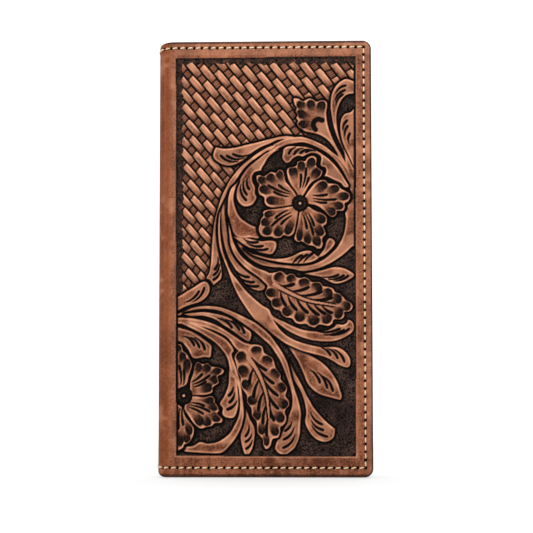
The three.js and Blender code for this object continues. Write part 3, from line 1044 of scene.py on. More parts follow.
# The ring round the upper flower, and the stems and leaves that grow from it. Joined to the ring itself are
# the turnback at its left, the scroll at its upper left, and the two plumes and the bud at its upper right.
RING = [
    Carving("ring", [
        (268, 149), (276, 144.2), (283, 140.6), (290.5, 138.4), (300, 137.6), (307, 138.8), (316.7, 142.6),
        (325.6, 147.4), (332.2, 152.8), (340, 159), (348, 169), (352.5, 179), (357, 192), (357, 243),
        (352, 248.6), (344.2, 256), (336.5, 261.5), (329, 266), (319.7, 270), (310.5, 272.5), (301.3, 273),
        (290.6, 270.7), (270, 268.7), (260, 266.4), (250.5, 261), (243.5, 254.5), (238, 246.5),
        (234, 238.5), (230, 229), (230, 229), (237.5, 240), (243, 247.5), (250, 254), (260, 260.5),
        (275.3, 265.3), (290.6, 267), (302.8, 267.4), (313.6, 265.5), (323.5, 261), (330.4, 255.4),
        (336.5, 249.5), (341.5, 241), (344.5, 232), (345.8, 221), (345, 213), (349, 203), (349.5, 189),
        (345.7, 178.3), (341, 169.8), (335, 161.4), (327.3, 154.5), (318, 149.2), (309.7, 145.4),
        (302.8, 143.8), (294.5, 144.6), (285, 147), (276.8, 150.7), (271.5, 154.4), (268.4, 152.4)],
        joined=[[(281, 149.6), (274.5, 153.4), (268.7, 158.8), (264.7, 165.3), (262.2, 169.3),
            (261.8, 172.2), (261.8, 172.2), (258, 172.8), (254.7, 174.2), (252.4, 178), (252.8, 183.5),
            (255.3, 188.8), (255.2, 195), (257, 199), (254, 205), (249.5, 207.8), (243.5, 208),
            (239, 204.3), (236.7, 199.5), (236.4, 195), (237, 190), (239.3, 185), (240.3, 180),
            (243.3, 175), (246.8, 170), (251.8, 165), (258.5, 160), (266.8, 153.6)],
            [(215.8, 148), (215.8, 148), (223.5, 149.6), (230.5, 149.2), (238, 148), (245.5, 146),
            (257, 143.3), (269.5, 140), (283, 137), (292, 137.4), (302, 139.8), (302, 139.8),
            (290.5, 140.6), (279, 141), (269.5, 145), (261, 148.6), (253.3, 153.4), (247.2, 158.4),
            (242.5, 162.2), (237, 165.2), (230.3, 167.2), (222.7, 166), (217.3, 163), (214, 160),
            (213, 155.3)],
            [(344, 154), (341, 147), (336.9, 138), (333.4, 127), (331.4, 116), (330.3, 106.5), (331.5, 95),
            (335.5, 86.5), (340.5, 81.5), (345.5, 79), (350.5, 80), (357, 84), (357, 93), (348, 95),
            (342.5, 99.5), (339, 106.5), (337, 114), (336.8, 122), (337.6, 130), (339.4, 138), (342.6, 147),
            (347.4, 156), (352.4, 167), (357, 178), (357, 200), (350, 185), (346, 170)],
            [(357, 113), (350, 113), (344, 115), (341, 120.5), (340, 128), (341, 138), (344.2, 148),
            (349.2, 158.6), (353.4, 168.5), (357, 176)],
            [(293.5, 99), (298.5, 99), (303, 101.5), (309, 98.8), (313, 99.6), (316.5, 102), (321, 100.6),
            (325, 101), (327.3, 103.5), (327.3, 107.5), (326.6, 114), (328, 125.5), (331.4, 135.8),
            (336.6, 147), (342, 156.5), (347, 167), (340, 161), (336.4, 153.4), (332, 146.5),
            (327.5, 141.2), (321, 136.8), (315, 134.6), (306, 132.8), (302.5, 130.6), (299, 128),
            (297, 124.5), (298, 121.8), (296.3, 118.8), (297.5, 115.7), (295.6, 112.2), (296.7, 108.8),
            (294.5, 105)]],
        hollows=[(301.3, 105.8, 4.2, 4.4), (311.3, 105.4, 3.9, 4.6), (321.4, 106.8, 4, 5),
            (302.3, 115.5, 3.8, 5.6), (303.6, 125.4, 3.8, 5.2)],
        cuts=[(250, 191.6, 247.6, 179.5, 0.13), (247.4, 197, 244.2, 181.5, 0.13),
            (247, 202.4, 240.9, 185.8, 0.13), (220.2, 156.2, 238.5, 162.9, -0.13),
            (226, 156.4, 244.5, 159.2, -0.13), (232.3, 155, 250.5, 155.2, -0.13),
            (346.4, 85.7, 335.7, 94, -0.13), (345.7, 90.3, 335, 101.4, -0.13),
            (343.6, 94.7, 336, 105.7, -0.13), (347.9, 120.7, 342.9, 131.6, -0.12),
            (348.3, 126.4, 345, 137.6, -0.12), (350.3, 133.6, 349.3, 145, -0.12)],
        kidney=[(315.5, 130.6), (313.4, 126.8), (314.3, 122.6), (318, 120), (322.2, 121.2)],
        heart=(318, 124), tone=0.06),
    Carving("curled_leaf", [
        (223.6, 203), (223.6, 203), (221.8, 210), (220.6, 217), (220.4, 224), (221.4, 231), (222.6, 239),
        (224.2, 247), (226.2, 254), (229.4, 261.5), (234, 269.2), (238, 275.4), (243.3, 283), (249.5, 289),
        (257, 292.5), (263.2, 292), (265.6, 289), (264, 284.5), (257, 279), (249.5, 274.5), (241.8, 268.4),
        (235.7, 261.5), (231.4, 253.5), (229.4, 246), (228.6, 240), (227.6, 232), (226.2, 224), (225, 215),
        (224.8, 208)],
        cuts=[(250, 278.9, 236.5, 272.6), (255, 283.8, 239, 278.2), (259.5, 287.6, 242, 283.2)],
        bow=0.12, edge=1.1, fades=36),
    Carving("pendant", [
        (277, 146), (270, 147.3), (262, 151.4), (255.7, 155.6), (249.5, 160.3), (243.5, 165.2),
        (238.6, 170), (234.6, 175), (230.7, 180), (227.7, 185), (225.2, 190), (222.8, 195), (220.6, 200),
        (217.6, 210.5), (215, 220), (213.5, 228.4), (212.6, 237.5), (211.7, 248), (211.2, 258),
        (210.4, 267), (209, 274.5), (206, 280), (209.7, 282), (213.5, 287.5), (213.5, 287.5),
        (216.6, 284.8), (221.2, 280.6), (222, 275.2), (221.3, 267.6), (219.6, 259.2), (218.2, 252),
        (216.8, 243), (216, 233), (216.4, 224), (217.8, 215.5), (220.5, 208), (224.8, 200), (227, 195),
        (229.2, 190), (233.4, 185.3), (237.4, 180), (240.6, 175), (244.4, 170), (249.4, 165), (255.8, 160),
        (266.5, 152.8), (272, 150.6)],
        cuts=[(214.3, 272, 217.8, 258.6), (213.1, 277.4, 219.7, 265.4), (212.7, 282, 220.8, 271.4)],
        bow=-0.12, edge=1.1, fades=36),
    Carving("long_stem", [
        (220.4, 211), (220.4, 211), (218.6, 219), (217.9, 230), (218.2, 240), (219.2, 248), (220.6, 254),
        (224.2, 263.5), (228, 273), (232, 284.5), (237.2, 296), (243.3, 306), (249.5, 315), (256, 323),
        (266, 331), (275.3, 338), (285.2, 345), (293, 348.7), (302, 352.5), (313.6, 355.6), (325, 358.7),
        (332.7, 362.5), (340.3, 367), (347.2, 369), (350.3, 366.3), (350.3, 360.2), (346.5, 354),
        (340.3, 349.5), (332.7, 348), (323.5, 348.7), (317.4, 347.6), (306, 345), (294.4, 341),
        (284.5, 335), (277.6, 327.3), (272, 318), (269.5, 311), (261, 306), (253.3, 299), (245.5, 291.3),
        (238, 282), (231, 273), (226.8, 263), (223.8, 254.5), (222.2, 248), (221, 240), (220.3, 231),
        (220.2, 222), (220.8, 215)],
        joined=[[(246, 292), (246, 292), (253.3, 299), (261, 305.5), (268, 311), (274.5, 318.5),
            (285.2, 323.5), (293, 327.3), (302.8, 331), (313.6, 332.6), (325, 332.3), (333.5, 328.8),
            (336.5, 325.7), (342.6, 326), (346.5, 324.2), (348, 321.2), (352, 322.7), (354.5, 327.3),
            (353.3, 332.6), (348, 337.2), (340.3, 341), (332, 343), (321.2, 343), (309.7, 341.4),
            (298.3, 337.6), (288.3, 332.6), (280.7, 327.3), (270, 319), (260, 309.5), (252, 300)]],
        cuts=[(330.9, 357.2, 321.5, 349.4), (338, 360.2, 327, 349.8), (344.6, 364, 333.4, 350.8),
            (340.6, 330, 317, 333, 0.08), (344.8, 331, 323.5, 336.3, 0.08),
            (349.8, 329.8, 331.4, 337.2, 0.08)],
        bow=-0.12, edge=1.1, fades=14),
    Carving("ring_leaf", [
        (241, 179.5), (241, 179.5), (235.8, 185), (231.8, 189), (229.4, 194), (228.2, 199), (227.7, 206),
        (227.6, 214), (228.4, 220.5), (230.4, 228), (234.5, 236.4), (241, 240), (250, 239.5), (259, 240),
        (259, 230.5), (251.5, 226.8), (246, 223.4), (241.2, 219.8), (236.8, 212.6), (233.8, 201),
        (235.2, 191.5), (237.6, 185)],
        joined=[[(233, 238), (242, 239.5), (247, 239.7), (255, 241.5), (262, 242.7), (269, 242),
            (275.3, 243), (276.8, 247.5), (275, 253), (271.5, 256.3), (264, 255.5), (255.3, 252.5),
            (246, 247.8), (239, 243)]],
        cuts=[(258.8, 243.7, 243.6, 240.4, 0.12), (263.9, 247.6, 246.6, 244.4, 0.11),
            (268.7, 250.5, 250.8, 249.6, 0.09)],
        tone=-0.26, fades=14),
    Carving("upper_turnback", [
        (283, 154), (283.7, 150), (288.3, 147.3), (296.7, 147.3), (306, 148), (315, 150.7), (322.7, 155.3),
        (329, 160), (335, 166), (340.3, 173), (345, 180.6), (349, 188), (344.2, 189), (341, 185),
        (333.5, 181.3), (327.3, 178.3), (324.3, 177.5), (326.2, 173), (325, 169), (320.4, 166.8),
        (321.2, 159), (318, 155.7), (312.8, 154.5), (307.4, 155.7), (302.8, 158), (298.3, 157.2),
        (293, 160), (290.6, 163), (286.8, 164.5), (283.7, 162), (282.2, 158.4)],
        cuts=[(288.7, 155.8, 296, 148.3), (293.8, 156.4, 303.6, 149.2), (299.8, 155.2, 311, 150.7),
            (305.4, 153.9, 316, 152.4)],
        bow=0.13, tone=0.22),
    Carving("inner_leaf", [
        (244, 250.5), (252, 255), (260, 257.3), (271.5, 260), (283, 260), (292, 257.7), (299.8, 253.8),
        (307.4, 252), (312.8, 253.4), (316, 256.5), (319, 259.5), (313, 263.5), (302.8, 265.6),
        (290.6, 265.3), (275.3, 263.4), (262, 260.3), (252, 256.6)],
        joined=[[(318, 259), (323, 252), (326, 244), (329, 239.8), (333.5, 241), (335.4, 244.8),
            (332.7, 249.4), (329, 253.4), (323.5, 257.8)]],
        cuts=[(302.8, 256.8, 293, 265), (308.2, 256, 298, 265.2), (314.2, 254.2, 303.8, 264.4)],
        bow=-0.06),
]

# The leaves above and beside the lower flower.
MIDDLE = [
    Carving("left_leaf", [
        (174, 302), (184.4, 294.4), (192, 289.8), (199.7, 284.8), (204.3, 283), (208, 284.8), (210, 289.8),
        (209, 295), (205, 300.5), (199, 304.3), (191.3, 306.6), (184.4, 309), (174, 313.5)],
        cuts=[(204.6, 288.8, 192.5, 303.6), (199.4, 292.2, 185, 304)],
        bow=0.11),
    Carving("side_leaf", [
        (174, 317), (184.4, 312.7), (193, 309), (203.6, 307.4), (215, 307.8), (225, 310), (235.7, 314.3),
        (245.6, 319), (255.6, 324.2), (263.2, 330), (270, 336), (277.6, 346), (284, 356), (288.5, 366),
        (291.5, 378), (295.2, 390.6), (299, 402), (301.3, 413.6), (300.6, 425), (299.8, 436.5),
        (296, 446.5), (290.6, 452), (284.5, 455.3), (278.4, 453.3), (274.5, 448.8), (274.5, 448.8),
        (276.8, 441.6), (281, 434.6), (284.6, 428), (287.6, 419), (291.6, 408), (292, 396.7), (289, 385.2),
        (285, 374), (281, 364), (276, 355.5), (270, 347), (261, 339), (253.3, 332.6), (245.6, 327.3),
        (238, 322), (230.3, 317.3), (219, 312.7), (209.7, 311.2), (199.7, 311.2), (188.3, 313.5),
        (178, 318)],
        cuts=[(284.2, 431.6, 292, 422.6), (282.8, 440.2, 294.4, 427.6), (282.4, 448.2, 295, 435.6)],
        bow=-0.12),
    Carving("middle_leaf", [
        (183.7, 315.5), (193, 314.3), (203.6, 313.5), (215, 315), (226.5, 318), (236.5, 323.5),
        (245, 328.8), (251, 333.4), (251.4, 338.8), (248.7, 343.3), (241.8, 339.5), (230.3, 331),
        (222.7, 326.5), (215, 321.2), (203.6, 317.7), (190.6, 318)],
        cuts=[(232.5, 330.2, 217.2, 320), (239.8, 332.1, 225.2, 321.3), (245, 335.3, 232, 322.2)],
        bow=-0.12, tone=0.12),
    Carving("side_turnback", [
        (174, 329.5), (186.7, 331), (196, 335), (203.6, 340.3), (211.2, 346.4), (211.6, 351.8),
        (210.4, 358.7), (203.6, 358.7), (196, 360.2), (191.3, 358), (188.3, 351.8), (183.7, 346.4),
        (174, 342)],
        cuts=[(194.6, 347.8, 183.2, 337.5), (199.6, 349.6, 189, 338.6), (205, 352, 194.2, 338.8)],
        bow=-0.13),
]

# What lies below the ring: a bract, a pendant, and the two large leaves with their stems.
LOWER = [
    Carving("right_bract", [
        (302.8, 275.2), (302.8, 275.2), (313.6, 273.7), (323.5, 271.4), (332.7, 268.8), (340.3, 269),
        (346.5, 270.7), (352, 274), (356, 276.8), (356, 276.8), (352, 279.8), (346.5, 283), (339.6, 285.2),
        (333.5, 285.2), (326.6, 282), (321.2, 279), (312.8, 277.5)],
        cuts=[(339.4, 276.1, 322.5, 278.5), (344.6, 276.6, 328, 281.2), (348.8, 277, 333.6, 283)],
        bow=0.09),
    Carving("lower_pendant", [
        (245, 408), (248, 413.6), (250.2, 419.7), (255, 429), (254.4, 440.3), (252.5, 448.8), (248.7, 455),
        (245, 455), (241.8, 445.7), (240.5, 436.5), (242.8, 427.3), (245, 418)],
        cuts=[(245, 437.2, 249, 425.6), (245, 442.4, 252, 434), (245.6, 449.2, 252.4, 440.4)],
        bow=-0.12),
    Carving("broad_leaf", [
        (260, 272), (267.7, 274.5), (275.3, 274), (280, 272.6), (283.7, 273.7), (286.8, 276.4),
        (290.6, 275), (294.4, 276), (296.7, 278.7), (301.3, 279.5), (305, 278.7), (309, 280.6),
        (311.3, 283.3), (316, 283.5), (320.4, 284), (323.5, 287.5), (328, 288.3), (332.7, 289.8),
        (335.7, 293.6), (340.3, 295.5), (343.8, 299), (346.5, 302), (351, 304.3), (353, 308), (351.4, 312),
        (348, 313.5), (344.5, 314), (344.5, 318), (341, 321.2), (334.2, 321.5), (332.7, 325), (329, 327.7),
        (323.5, 327), (319, 326.5), (315, 329.2), (309.7, 328), (306, 325.7), (299.8, 326), (295.2, 324.2),
        (292, 320.4), (286, 319.2), (282.2, 316.6), (280, 312.7), (274.5, 310.8), (271.5, 306.6),
        (270.7, 302.8), (267, 299), (265, 294.4), (267.3, 288.3), (264.6, 283), (260, 280)],
        joined=[[(227.5, 220), (227.5, 220), (229, 235), (230, 245), (232.5, 253), (237, 260.6),
            (243, 267.4), (251, 274), (259, 279.5), (266, 286), (271, 291), (278, 282), (269.5, 274.5),
            (257, 269.2), (249.5, 264.6), (242, 258), (236.5, 250), (233, 241), (230.5, 231)]],
        hollows=[(278.7, 278.3, 4.6, 3.6), (291, 279.8, 4, 3.4), (304.4, 283.7, 5, 3.6),
            (317.4, 288.4, 5.4, 3.8), (328.3, 295, 4.8, 4), (337.5, 300.2, 4.8, 4), (346.3, 308, 4.6, 4),
            (339, 315, 5, 3.8), (327, 320.4, 5, 4.2), (313.9, 322.2, 5, 4.4), (299.8, 318.4, 4.6, 4.6),
            (287.2, 313.2, 4.4, 4.4), (276.5, 304.4, 4, 4.6), (271, 294.6, 3.8, 4.8)],
        cuts=[(295.2, 285.4, 280.5, 287.6), (309.7, 288.5, 289.5, 293), (322.7, 292.7, 299, 297),
            (333, 299, 309, 301), (286.6, 308, 280.6, 293.4), (297.6, 312.4, 288, 297.6),
            (308.6, 315, 296.5, 299.6), (319.8, 317, 306, 303.8), (326.5, 315.8, 314, 305.6),
            (333, 315, 322, 307.6)],
        rib=[(272, 284.6), (280, 289.4), (290.6, 295), (302.8, 300.5), (313.6, 303.6), (326, 305.6),
            (336, 307.4)],
        heart=(306, 300), bow=0.07, blade=2.8),
    Carving("long_leaf", [
        (249.5, 346), (240, 351), (234.5, 358), (236.5, 367.7), (236.5, 372.2), (240.3, 378.4),
        (240.3, 385.2), (243.3, 391.4), (246.8, 396.7), (246.8, 402.8), (251, 409), (252, 416.6),
        (256.3, 422), (257, 430.4), (258, 434.2), (262.5, 439.6), (263.2, 445), (266.2, 449.5),
        (270.7, 446.5), (273, 439.6), (278.4, 438), (280.7, 432), (280.7, 428), (285.2, 424.3),
        (286.8, 418), (285.2, 413.6), (286, 410.5), (289.5, 406), (289, 401.3), (286, 396.7),
        (287.5, 390.6), (286, 386), (281.4, 380.7), (280.7, 375.3), (276.5, 369.5), (274.5, 363.2),
        (272, 358.6), (264.6, 354), (263, 348.7), (258.6, 346)],
        joined=[[(174, 319.5), (189, 319.4), (197.4, 320.6), (207.4, 323), (217.3, 326.8), (226.5, 332.2),
            (235.7, 338.2), (244, 343.5), (252, 347), (247, 356), (236, 350.4), (228.5, 340.5),
            (219, 334.5), (205, 329.2), (190, 326), (174, 325)],
            [(174, 321.5), (190, 322.8), (203, 328.6), (218.5, 336), (227.5, 342), (234, 351), (232, 356),
            (234.3, 363), (237, 371), (238, 380), (231.5, 376), (229.6, 369.4), (227.3, 360),
            (222.7, 352.5), (215.8, 345), (208, 339.5), (199, 334), (188.3, 328.8)],
            [(229.6, 367.7), (232, 375.3), (236.5, 379), (238, 390.6), (238.8, 402), (238, 409.7),
            (235, 417.4), (230.3, 419), (224.2, 417.4), (222, 413.6), (222.7, 409), (219.6, 404.4),
            (224.2, 396.7), (228, 387), (228.8, 375.3)],
            [(233.6, 364), (238.6, 376), (241.4, 388), (242.8, 398.3), (244, 409), (244, 418), (241, 429),
            (235.7, 438.8), (229, 447), (222.7, 452.6), (215, 453.7), (199.7, 453), (184, 451.5),
            (184, 447), (193, 445.7), (199.7, 442), (207.4, 443.4), (215, 442.6), (222, 439.6),
            (229.6, 433.5), (234.2, 426), (238, 418), (239.6, 409.7), (239.4, 398), (237.4, 386),
            (232.4, 374)]],
        hollows=[(241, 358, 4.6, 4.6), (243, 372.2, 4.8, 5), (246.4, 386, 4.2, 4.8), (251.8, 401.3, 4, 4.6),
            (257, 416, 3.8, 4.6), (261.7, 430, 3.4, 4.6), (266.3, 441, 3, 4.6), (274.9, 431.2, 3.8, 4.6),
            (280, 418, 4.2, 4.6), (284, 405, 4.2, 4.2), (282, 388.3, 4.2, 4.2), (275.8, 374.3, 4.6, 3.8),
            (267.6, 361, 4.8, 3.6), (256.5, 351.3, 4.8, 3.2)],
        cuts=[(249.4, 386, 254.6, 368), (253.6, 399, 260, 379.6), (258.6, 412.4, 264.2, 392),
            (263, 425, 267.4, 404), (267, 437, 269, 417), (274.5, 385, 258.4, 368.6),
            (278.5, 397, 263.4, 380), (279, 410, 267, 392.6), (274.8, 422, 269, 403),
            (267.4, 372, 251.6, 358.6), (228, 397.2, 233.4, 387.5, -0.12),
            (228.6, 404, 234.6, 393.2, -0.12), (226.4, 410.4, 237.2, 401.4, -0.12)],
        rib=[(246, 356), (257, 371.5), (263.2, 385), (267, 398.3), (268.4, 409.7), (269.2, 420)],
        heart=(262, 397), bow=0.06, blade=2.6),
]


def petal(name: str, heart: Point, bow: float, outline: Line, hollows: Sequence[Dent],
          cuts: Sequence[Cut]) -> Carving:
    """A petal: a carving with a fine line round it, whose dents fade towards the flower's heart."""
    return Carving(name, outline, hollows=hollows, cuts=cuts, heart=heart, bow=bow, blade=2.0, edge=0.5,
                   bevel=3.4)


# Petals of the upper flower.
FLOWER_1 = [
    petal("first_top_petal", HEART_1, 0.04, [
        (300, 200), (296, 193.6), (290.6, 186), (287.5, 178.3), (286.8, 171.4), (289.5, 168.7),
        (293.7, 168), (296.7, 166.4), (297.5, 163), (301.3, 161.8), (305, 162.2), (307.4, 159),
        (312, 156.8), (316, 158.4), (317, 162.2), (316.2, 166), (318, 169), (322.4, 172), (322, 176),
        (319, 179.8), (313.6, 182.8), (309, 187.4), (305, 195)],
        hollows=[(293.3, 173, 4, 5), (301.3, 167.2, 3.6, 4.8), (311.3, 164.5, 4, 5.2),
            (316.6, 174.4, 4, 5)],
        cuts=[(301, 175, 300, 190), (306.3, 169, 302.6, 189), (309, 178.3, 305, 189)]),
    petal("first_right_petal", HEART_1, 0.04, [
        (303, 203), (306, 196), (310.5, 189.7), (315, 184.4), (320.4, 181.3), (325.8, 181.7), (328, 184.4),
        (333.5, 185), (338, 186), (341, 189.7), (345.7, 192.4), (349.5, 195), (350.3, 199.7), (348, 203.5),
        (345, 205), (345, 209.6), (342.6, 212.7), (337, 212.9), (337, 215.7), (333.5, 218.8), (329.6, 218),
        (326.6, 215), (322.7, 211.2), (316.6, 207.3), (309.7, 205.8)],
        hollows=[(322.7, 187.2, 4, 5), (334.2, 190.6, 3.8, 5), (343.4, 198, 3.8, 5.2), (338, 207.6, 3.8, 5),
            (331.2, 213.4, 3.8, 4.6)],
        cuts=[(328, 196, 312.8, 197), (337, 200.8, 313, 200), (327.3, 204.4, 313.6, 202.6)]),
    petal("first_left_petal", HEART_1, -0.05, [
        (298, 203), (295.2, 194.4), (290.6, 188.2), (286, 182.8), (284.5, 176.7), (283, 172), (279, 171),
        (276, 174), (271.5, 173), (267.7, 175.2), (263.8, 177.5), (260, 176.3), (256.4, 177.5),
        (257, 182.8), (259.4, 186), (258, 190.5), (259.4, 196), (264, 199), (264.6, 204.3), (267.7, 208),
        (273.8, 209.6), (283, 208.5), (290, 207.3)],
        hollows=[(262.7, 182, 4, 4.4), (271, 179, 3.8, 4.2), (280.2, 176.4, 3.4, 4.8),
            (264.6, 191.3, 3.8, 5), (272.2, 202.2, 4, 5.4)],
        cuts=[(278.4, 186, 290.6, 193.8), (267.7, 186.3, 290, 195.6), (273.4, 193, 288.7, 198.2)]),
    petal("first_low_left_petal", HEART_1, 0.05, [
        (298.5, 207), (290.6, 208), (283, 209.2), (275.3, 210.4), (267.7, 211.2), (263, 213.5),
        (263.4, 217.3), (260.8, 221), (260, 225.7), (258.5, 230.3), (260, 235.6), (264.6, 238.7),
        (271.5, 238.7), (275.3, 240.2), (280.7, 239.5), (283.7, 237.2), (289, 238.3), (293.7, 235.6),
        (295.6, 230.3), (296.7, 224.2), (298.3, 216.5)],
        hollows=[(268.8, 215.6, 3, 4.4), (265.6, 223.6, 3.8, 4.4), (267.8, 232.4, 4, 4.6),
            (279, 233.4, 4.2, 4.8), (289.2, 230.4, 3.6, 6)],
        cuts=[(275, 220.4, 288, 212), (271.5, 228, 291, 214.2), (280.7, 226.5, 292, 217.3)]),
    petal("first_low_right_petal", HEART_1, -0.04, [
        (302, 207), (309, 208), (315, 212), (321.2, 214.2), (325.8, 217.3), (327.3, 221), (326.6, 225.7),
        (323.5, 228), (325, 231.8), (325.8, 236.4), (322.7, 240.2), (323, 246.4), (321.2, 250.2),
        (317.4, 250.6), (313.6, 248), (308.2, 247), (304.4, 244.8), (301.3, 243.3), (298.3, 244),
        (294.4, 241), (295.6, 235), (297.5, 227.2), (299, 216.5)],
        hollows=[(321, 220.6, 4.2, 4.6), (319.7, 232.4, 4.2, 5), (316.6, 242.4, 4, 5),
            (307.4, 240.6, 3.4, 5.2), (299.6, 236.4, 3, 6.4)],
        cuts=[(307, 231, 303.4, 216.5), (313.6, 237.2, 305.8, 216), (314.3, 228, 308.4, 215)]),
]

# Petals of the lower flower, which the field's left edge cuts off.
FLOWER_2 = [
    petal("second_top_petal", HEART_2, 0.04, [
        (172, 344), (177.5, 345), (181.4, 346.6), (183, 351.8), (186.7, 355), (189.8, 360.2), (192, 364.8),
        (192, 368), (189, 377), (186, 386), (172, 388)],
        hollows=[(178.3, 350.6, 3, 4.4), (182.8, 358.8, 3.2, 5), (187, 366.6, 3.4, 6)],
        cuts=[(179, 366, 181, 385), (183.5, 370, 183.5, 386)]),
    petal("second_bottom_petal", HEART_2, 0.04, [
        (172, 406), (182, 408), (185.2, 416.6), (190.6, 423.5), (194, 429), (193.6, 435), (191.3, 440.3),
        (188.3, 443.4), (184.4, 445), (182, 448.8), (172, 449)],
        hollows=[(189, 429.6, 3.2, 5.4), (187, 438.6, 3.2, 4.6), (180, 440.4, 3.4, 5.4)],
        cuts=[(178.5, 430, 180, 409), (183.5, 426, 182, 409)]),
    petal("second_upper_petal", HEART_2, 0.05, [
        (190, 383), (192.8, 375.3), (194.4, 367.7), (197.4, 363), (202.8, 365.2), (208, 364.2),
        (212, 367.6), (219, 368.4), (224.2, 371.5), (222.7, 375.3), (218, 377.6), (219, 383.7),
        (215, 386.8), (212.7, 389), (212.7, 393), (208, 395.6), (199.7, 396.3), (191, 396)],
        hollows=[(197.8, 368.6, 3.4, 4.6), (206.6, 369.4, 3.8, 4.4), (216.4, 372.8, 3.4, 5),
            (214, 381.4, 3.8, 4.4), (207.4, 388.7, 4.2, 4.6)],
        cuts=[(202.8, 374.6, 191.5, 383.4), (210.4, 376, 192.5, 385.6), (206.6, 382.2, 193.4, 388)]),
    petal("second_lower_petal", HEART_2, -0.05, [
        (191, 397.5), (203.6, 398), (211.2, 396.7), (215, 399.8), (215, 402.8), (218, 407.4), (219, 412),
        (217.3, 414.3), (222.7, 419.7), (221.2, 423.5), (215, 424), (212, 426.6), (206.6, 427.7),
        (200.5, 429.2), (194.4, 425), (188.3, 416.6), (184, 408)],
        hollows=[(208.7, 400.8, 3.4, 5), (213.4, 407.4, 3.6, 4.6), (215.6, 418, 4, 4.8),
            (206.6, 422.4, 4, 4.6), (199, 421, 4, 5)],
        cuts=[(205, 407, 191.5, 403.6), (210.4, 412.8, 190.4, 406), (203.6, 415, 188.6, 408)]),
]

# All carvings but the flowers, each one over those before it.
SCROLLS = [*LEAVES, *RING, *MIDDLE, *LOWER]


@dataclass(frozen=True)
class PhotoMap:
    """Ties the tooled field on the cover, in millimetres, to its place in the photograph, in pixels."""

    pixels: tuple[Point, ...] = ((175.8, 58.4), (355.7, 55.8), (356.2, 456.4), (176.0, 455.9))
    cover: tuple[Point, ...] = ((-39.05, 182.54), (39.81, 183.06), (39.18, 8.99), (-38.3, 9.14))
    rounds: int = 4

    def shares(self, x: Array, z: Array) -> tuple[Array, Array]:
        """How far across and down the field points of the cover lie, from 0 to 1 inside it.

        Args:
            x: Widths on the cover.
            z: Heights on the cover.

        Returns:
            The shares across and down.
        """
        (ax, az), (bx, bz), (cx, cz), (dx, dz) = self.cover
        u = np.full(x.shape, 0.5)
        v = np.full(x.shape, 0.5)
        for _ in range(self.rounds):
            left, right = ax + (dx - ax) * v, bx + (cx - bx) * v
            u = (x - left) / (right - left)
            top, foot = az + (bz - az) * u, dz + (cz - dz) * u
            v = (top - z) / (top - foot)
        return u, v

    def pixel(self, u: Array, v: Array) -> tuple[Array, Array]:
        """Photo column and row of shares of the field.

        Args:
            u: Shares across.
            v: Shares down.

        Returns:
            Columns and rows.
        """
        a, b, c, d = (np.array(p) for p in self.pixels)
        u, v = u[..., None], v[..., None]
        at = (a * (1 - u) + b * u) * (1 - v) + (d * (1 - u) + c * u) * v
        return at[..., 0], at[..., 1]

    def inside(self, u: Array, v: Array) -> Array:
        """Distance from the field's edge in photo pixels, positive inside it."""
        wide, tall = self.pixels[1][0] - self.pixels[0][0], self.pixels[3][1] - self.pixels[0][1]
        return np.minimum(np.minimum(u, 1 - u) * wide, np.minimum(v, 1 - v) * tall)


@dataclass
class Skin:
    """Outer face of a sheet as a grid: run, height and depth in millimetres, and its shares of stain (with painted
    shade on the weave), light (painted highlight and lighter tone), edge paint (with painted shade in its wider
    band along the cover's foot), matting and warm brown.
    """

    run: Array
    rise: Array
    depth: Array
    stain: Array
    light: Array
    rim: Array
    mat: Array
    warm: Array

    @classmethod
    def blank(cls, columns: Array, low: Array, high: Array, rows: Array) -> Skin:
        """Plain grid between two edges.

        Args:
            columns: Run of each column.
            low: Height of the lower edge at each column.
            high: Height of the upper edge at each column.
            rows: Share of the way up of each row, from 0 to 1.

        Returns:
            A skin with nothing worked into it.
        """
        rise = low + rows[:, None] * (high - low)
        run = np.broadcast_to(columns, rise.shape).copy()
        return cls(run, rise, *(np.zeros(rise.shape) for _ in range(6)))

    def season(self, seed: int, wave: float) -> None:
        """Gives plain leather its slight unevenness and darker clouds.

        Args:
            seed: Seed of the clouds.
            wave: Depth of the unevenness.
        """
        soft = lumps(self.run, self.rise, size=9.0, seed=seed)
        fine = lumps(self.run, self.rise, size=2.3, seed=seed + 1)
        self.depth += wave * (0.7 * soft + 0.3 * fine)
        self.stain += 0.16 * smooth(soft, 0.5, 1.0) + 0.1 * smooth(fine, 0.6, 1.0)
        self.light += 0.2 * smooth(fine, 0.5, 0.1) * smooth(soft, 0.6, 0.2)

    def pierce(self, holes: Array, radius: float, deep: float) -> None:
        """Presses a stitch hole into the skin at each of some points.

        Args:
            holes: Run and height of each hole.
            radius: Radius of a hole.
            deep: Depth of a hole.
        """
        columns, rows = self.run[0], self.rise.mean(axis=1)
        for run, rise in holes:
            across = slice(*np.searchsorted(columns, [run - 2.0, run + 2.0]))
            up = slice(*np.searchsorted(rows, [rise - 4.0, rise + 4.0]))
            away = np.hypot(self.run[up, across] - run, self.rise[up, across] - rise)
            pit = smooth(away, 1.35 * radius, 0.5 * radius)
            self.depth[up, across] += deep * pit
            self.stain[up, across] = np.maximum(self.stain[up, across], 0.97 * pit)
            self.light[up, across] *= 1 - pit

    def press_line(self, away: Array, width: float, deep: float, stain: float) -> None:
        """Presses a line into the skin, given the distance to it.

        Args:
            away: Distance to the line.
            width: Width of the line.
            deep: Depth of the line.
            stain: Stain in the line.
        """
        mask = smooth(away, width, 0.3 * width)
        self.depth += deep * mask
        self.stain = np.maximum(self.stain, stain * mask)


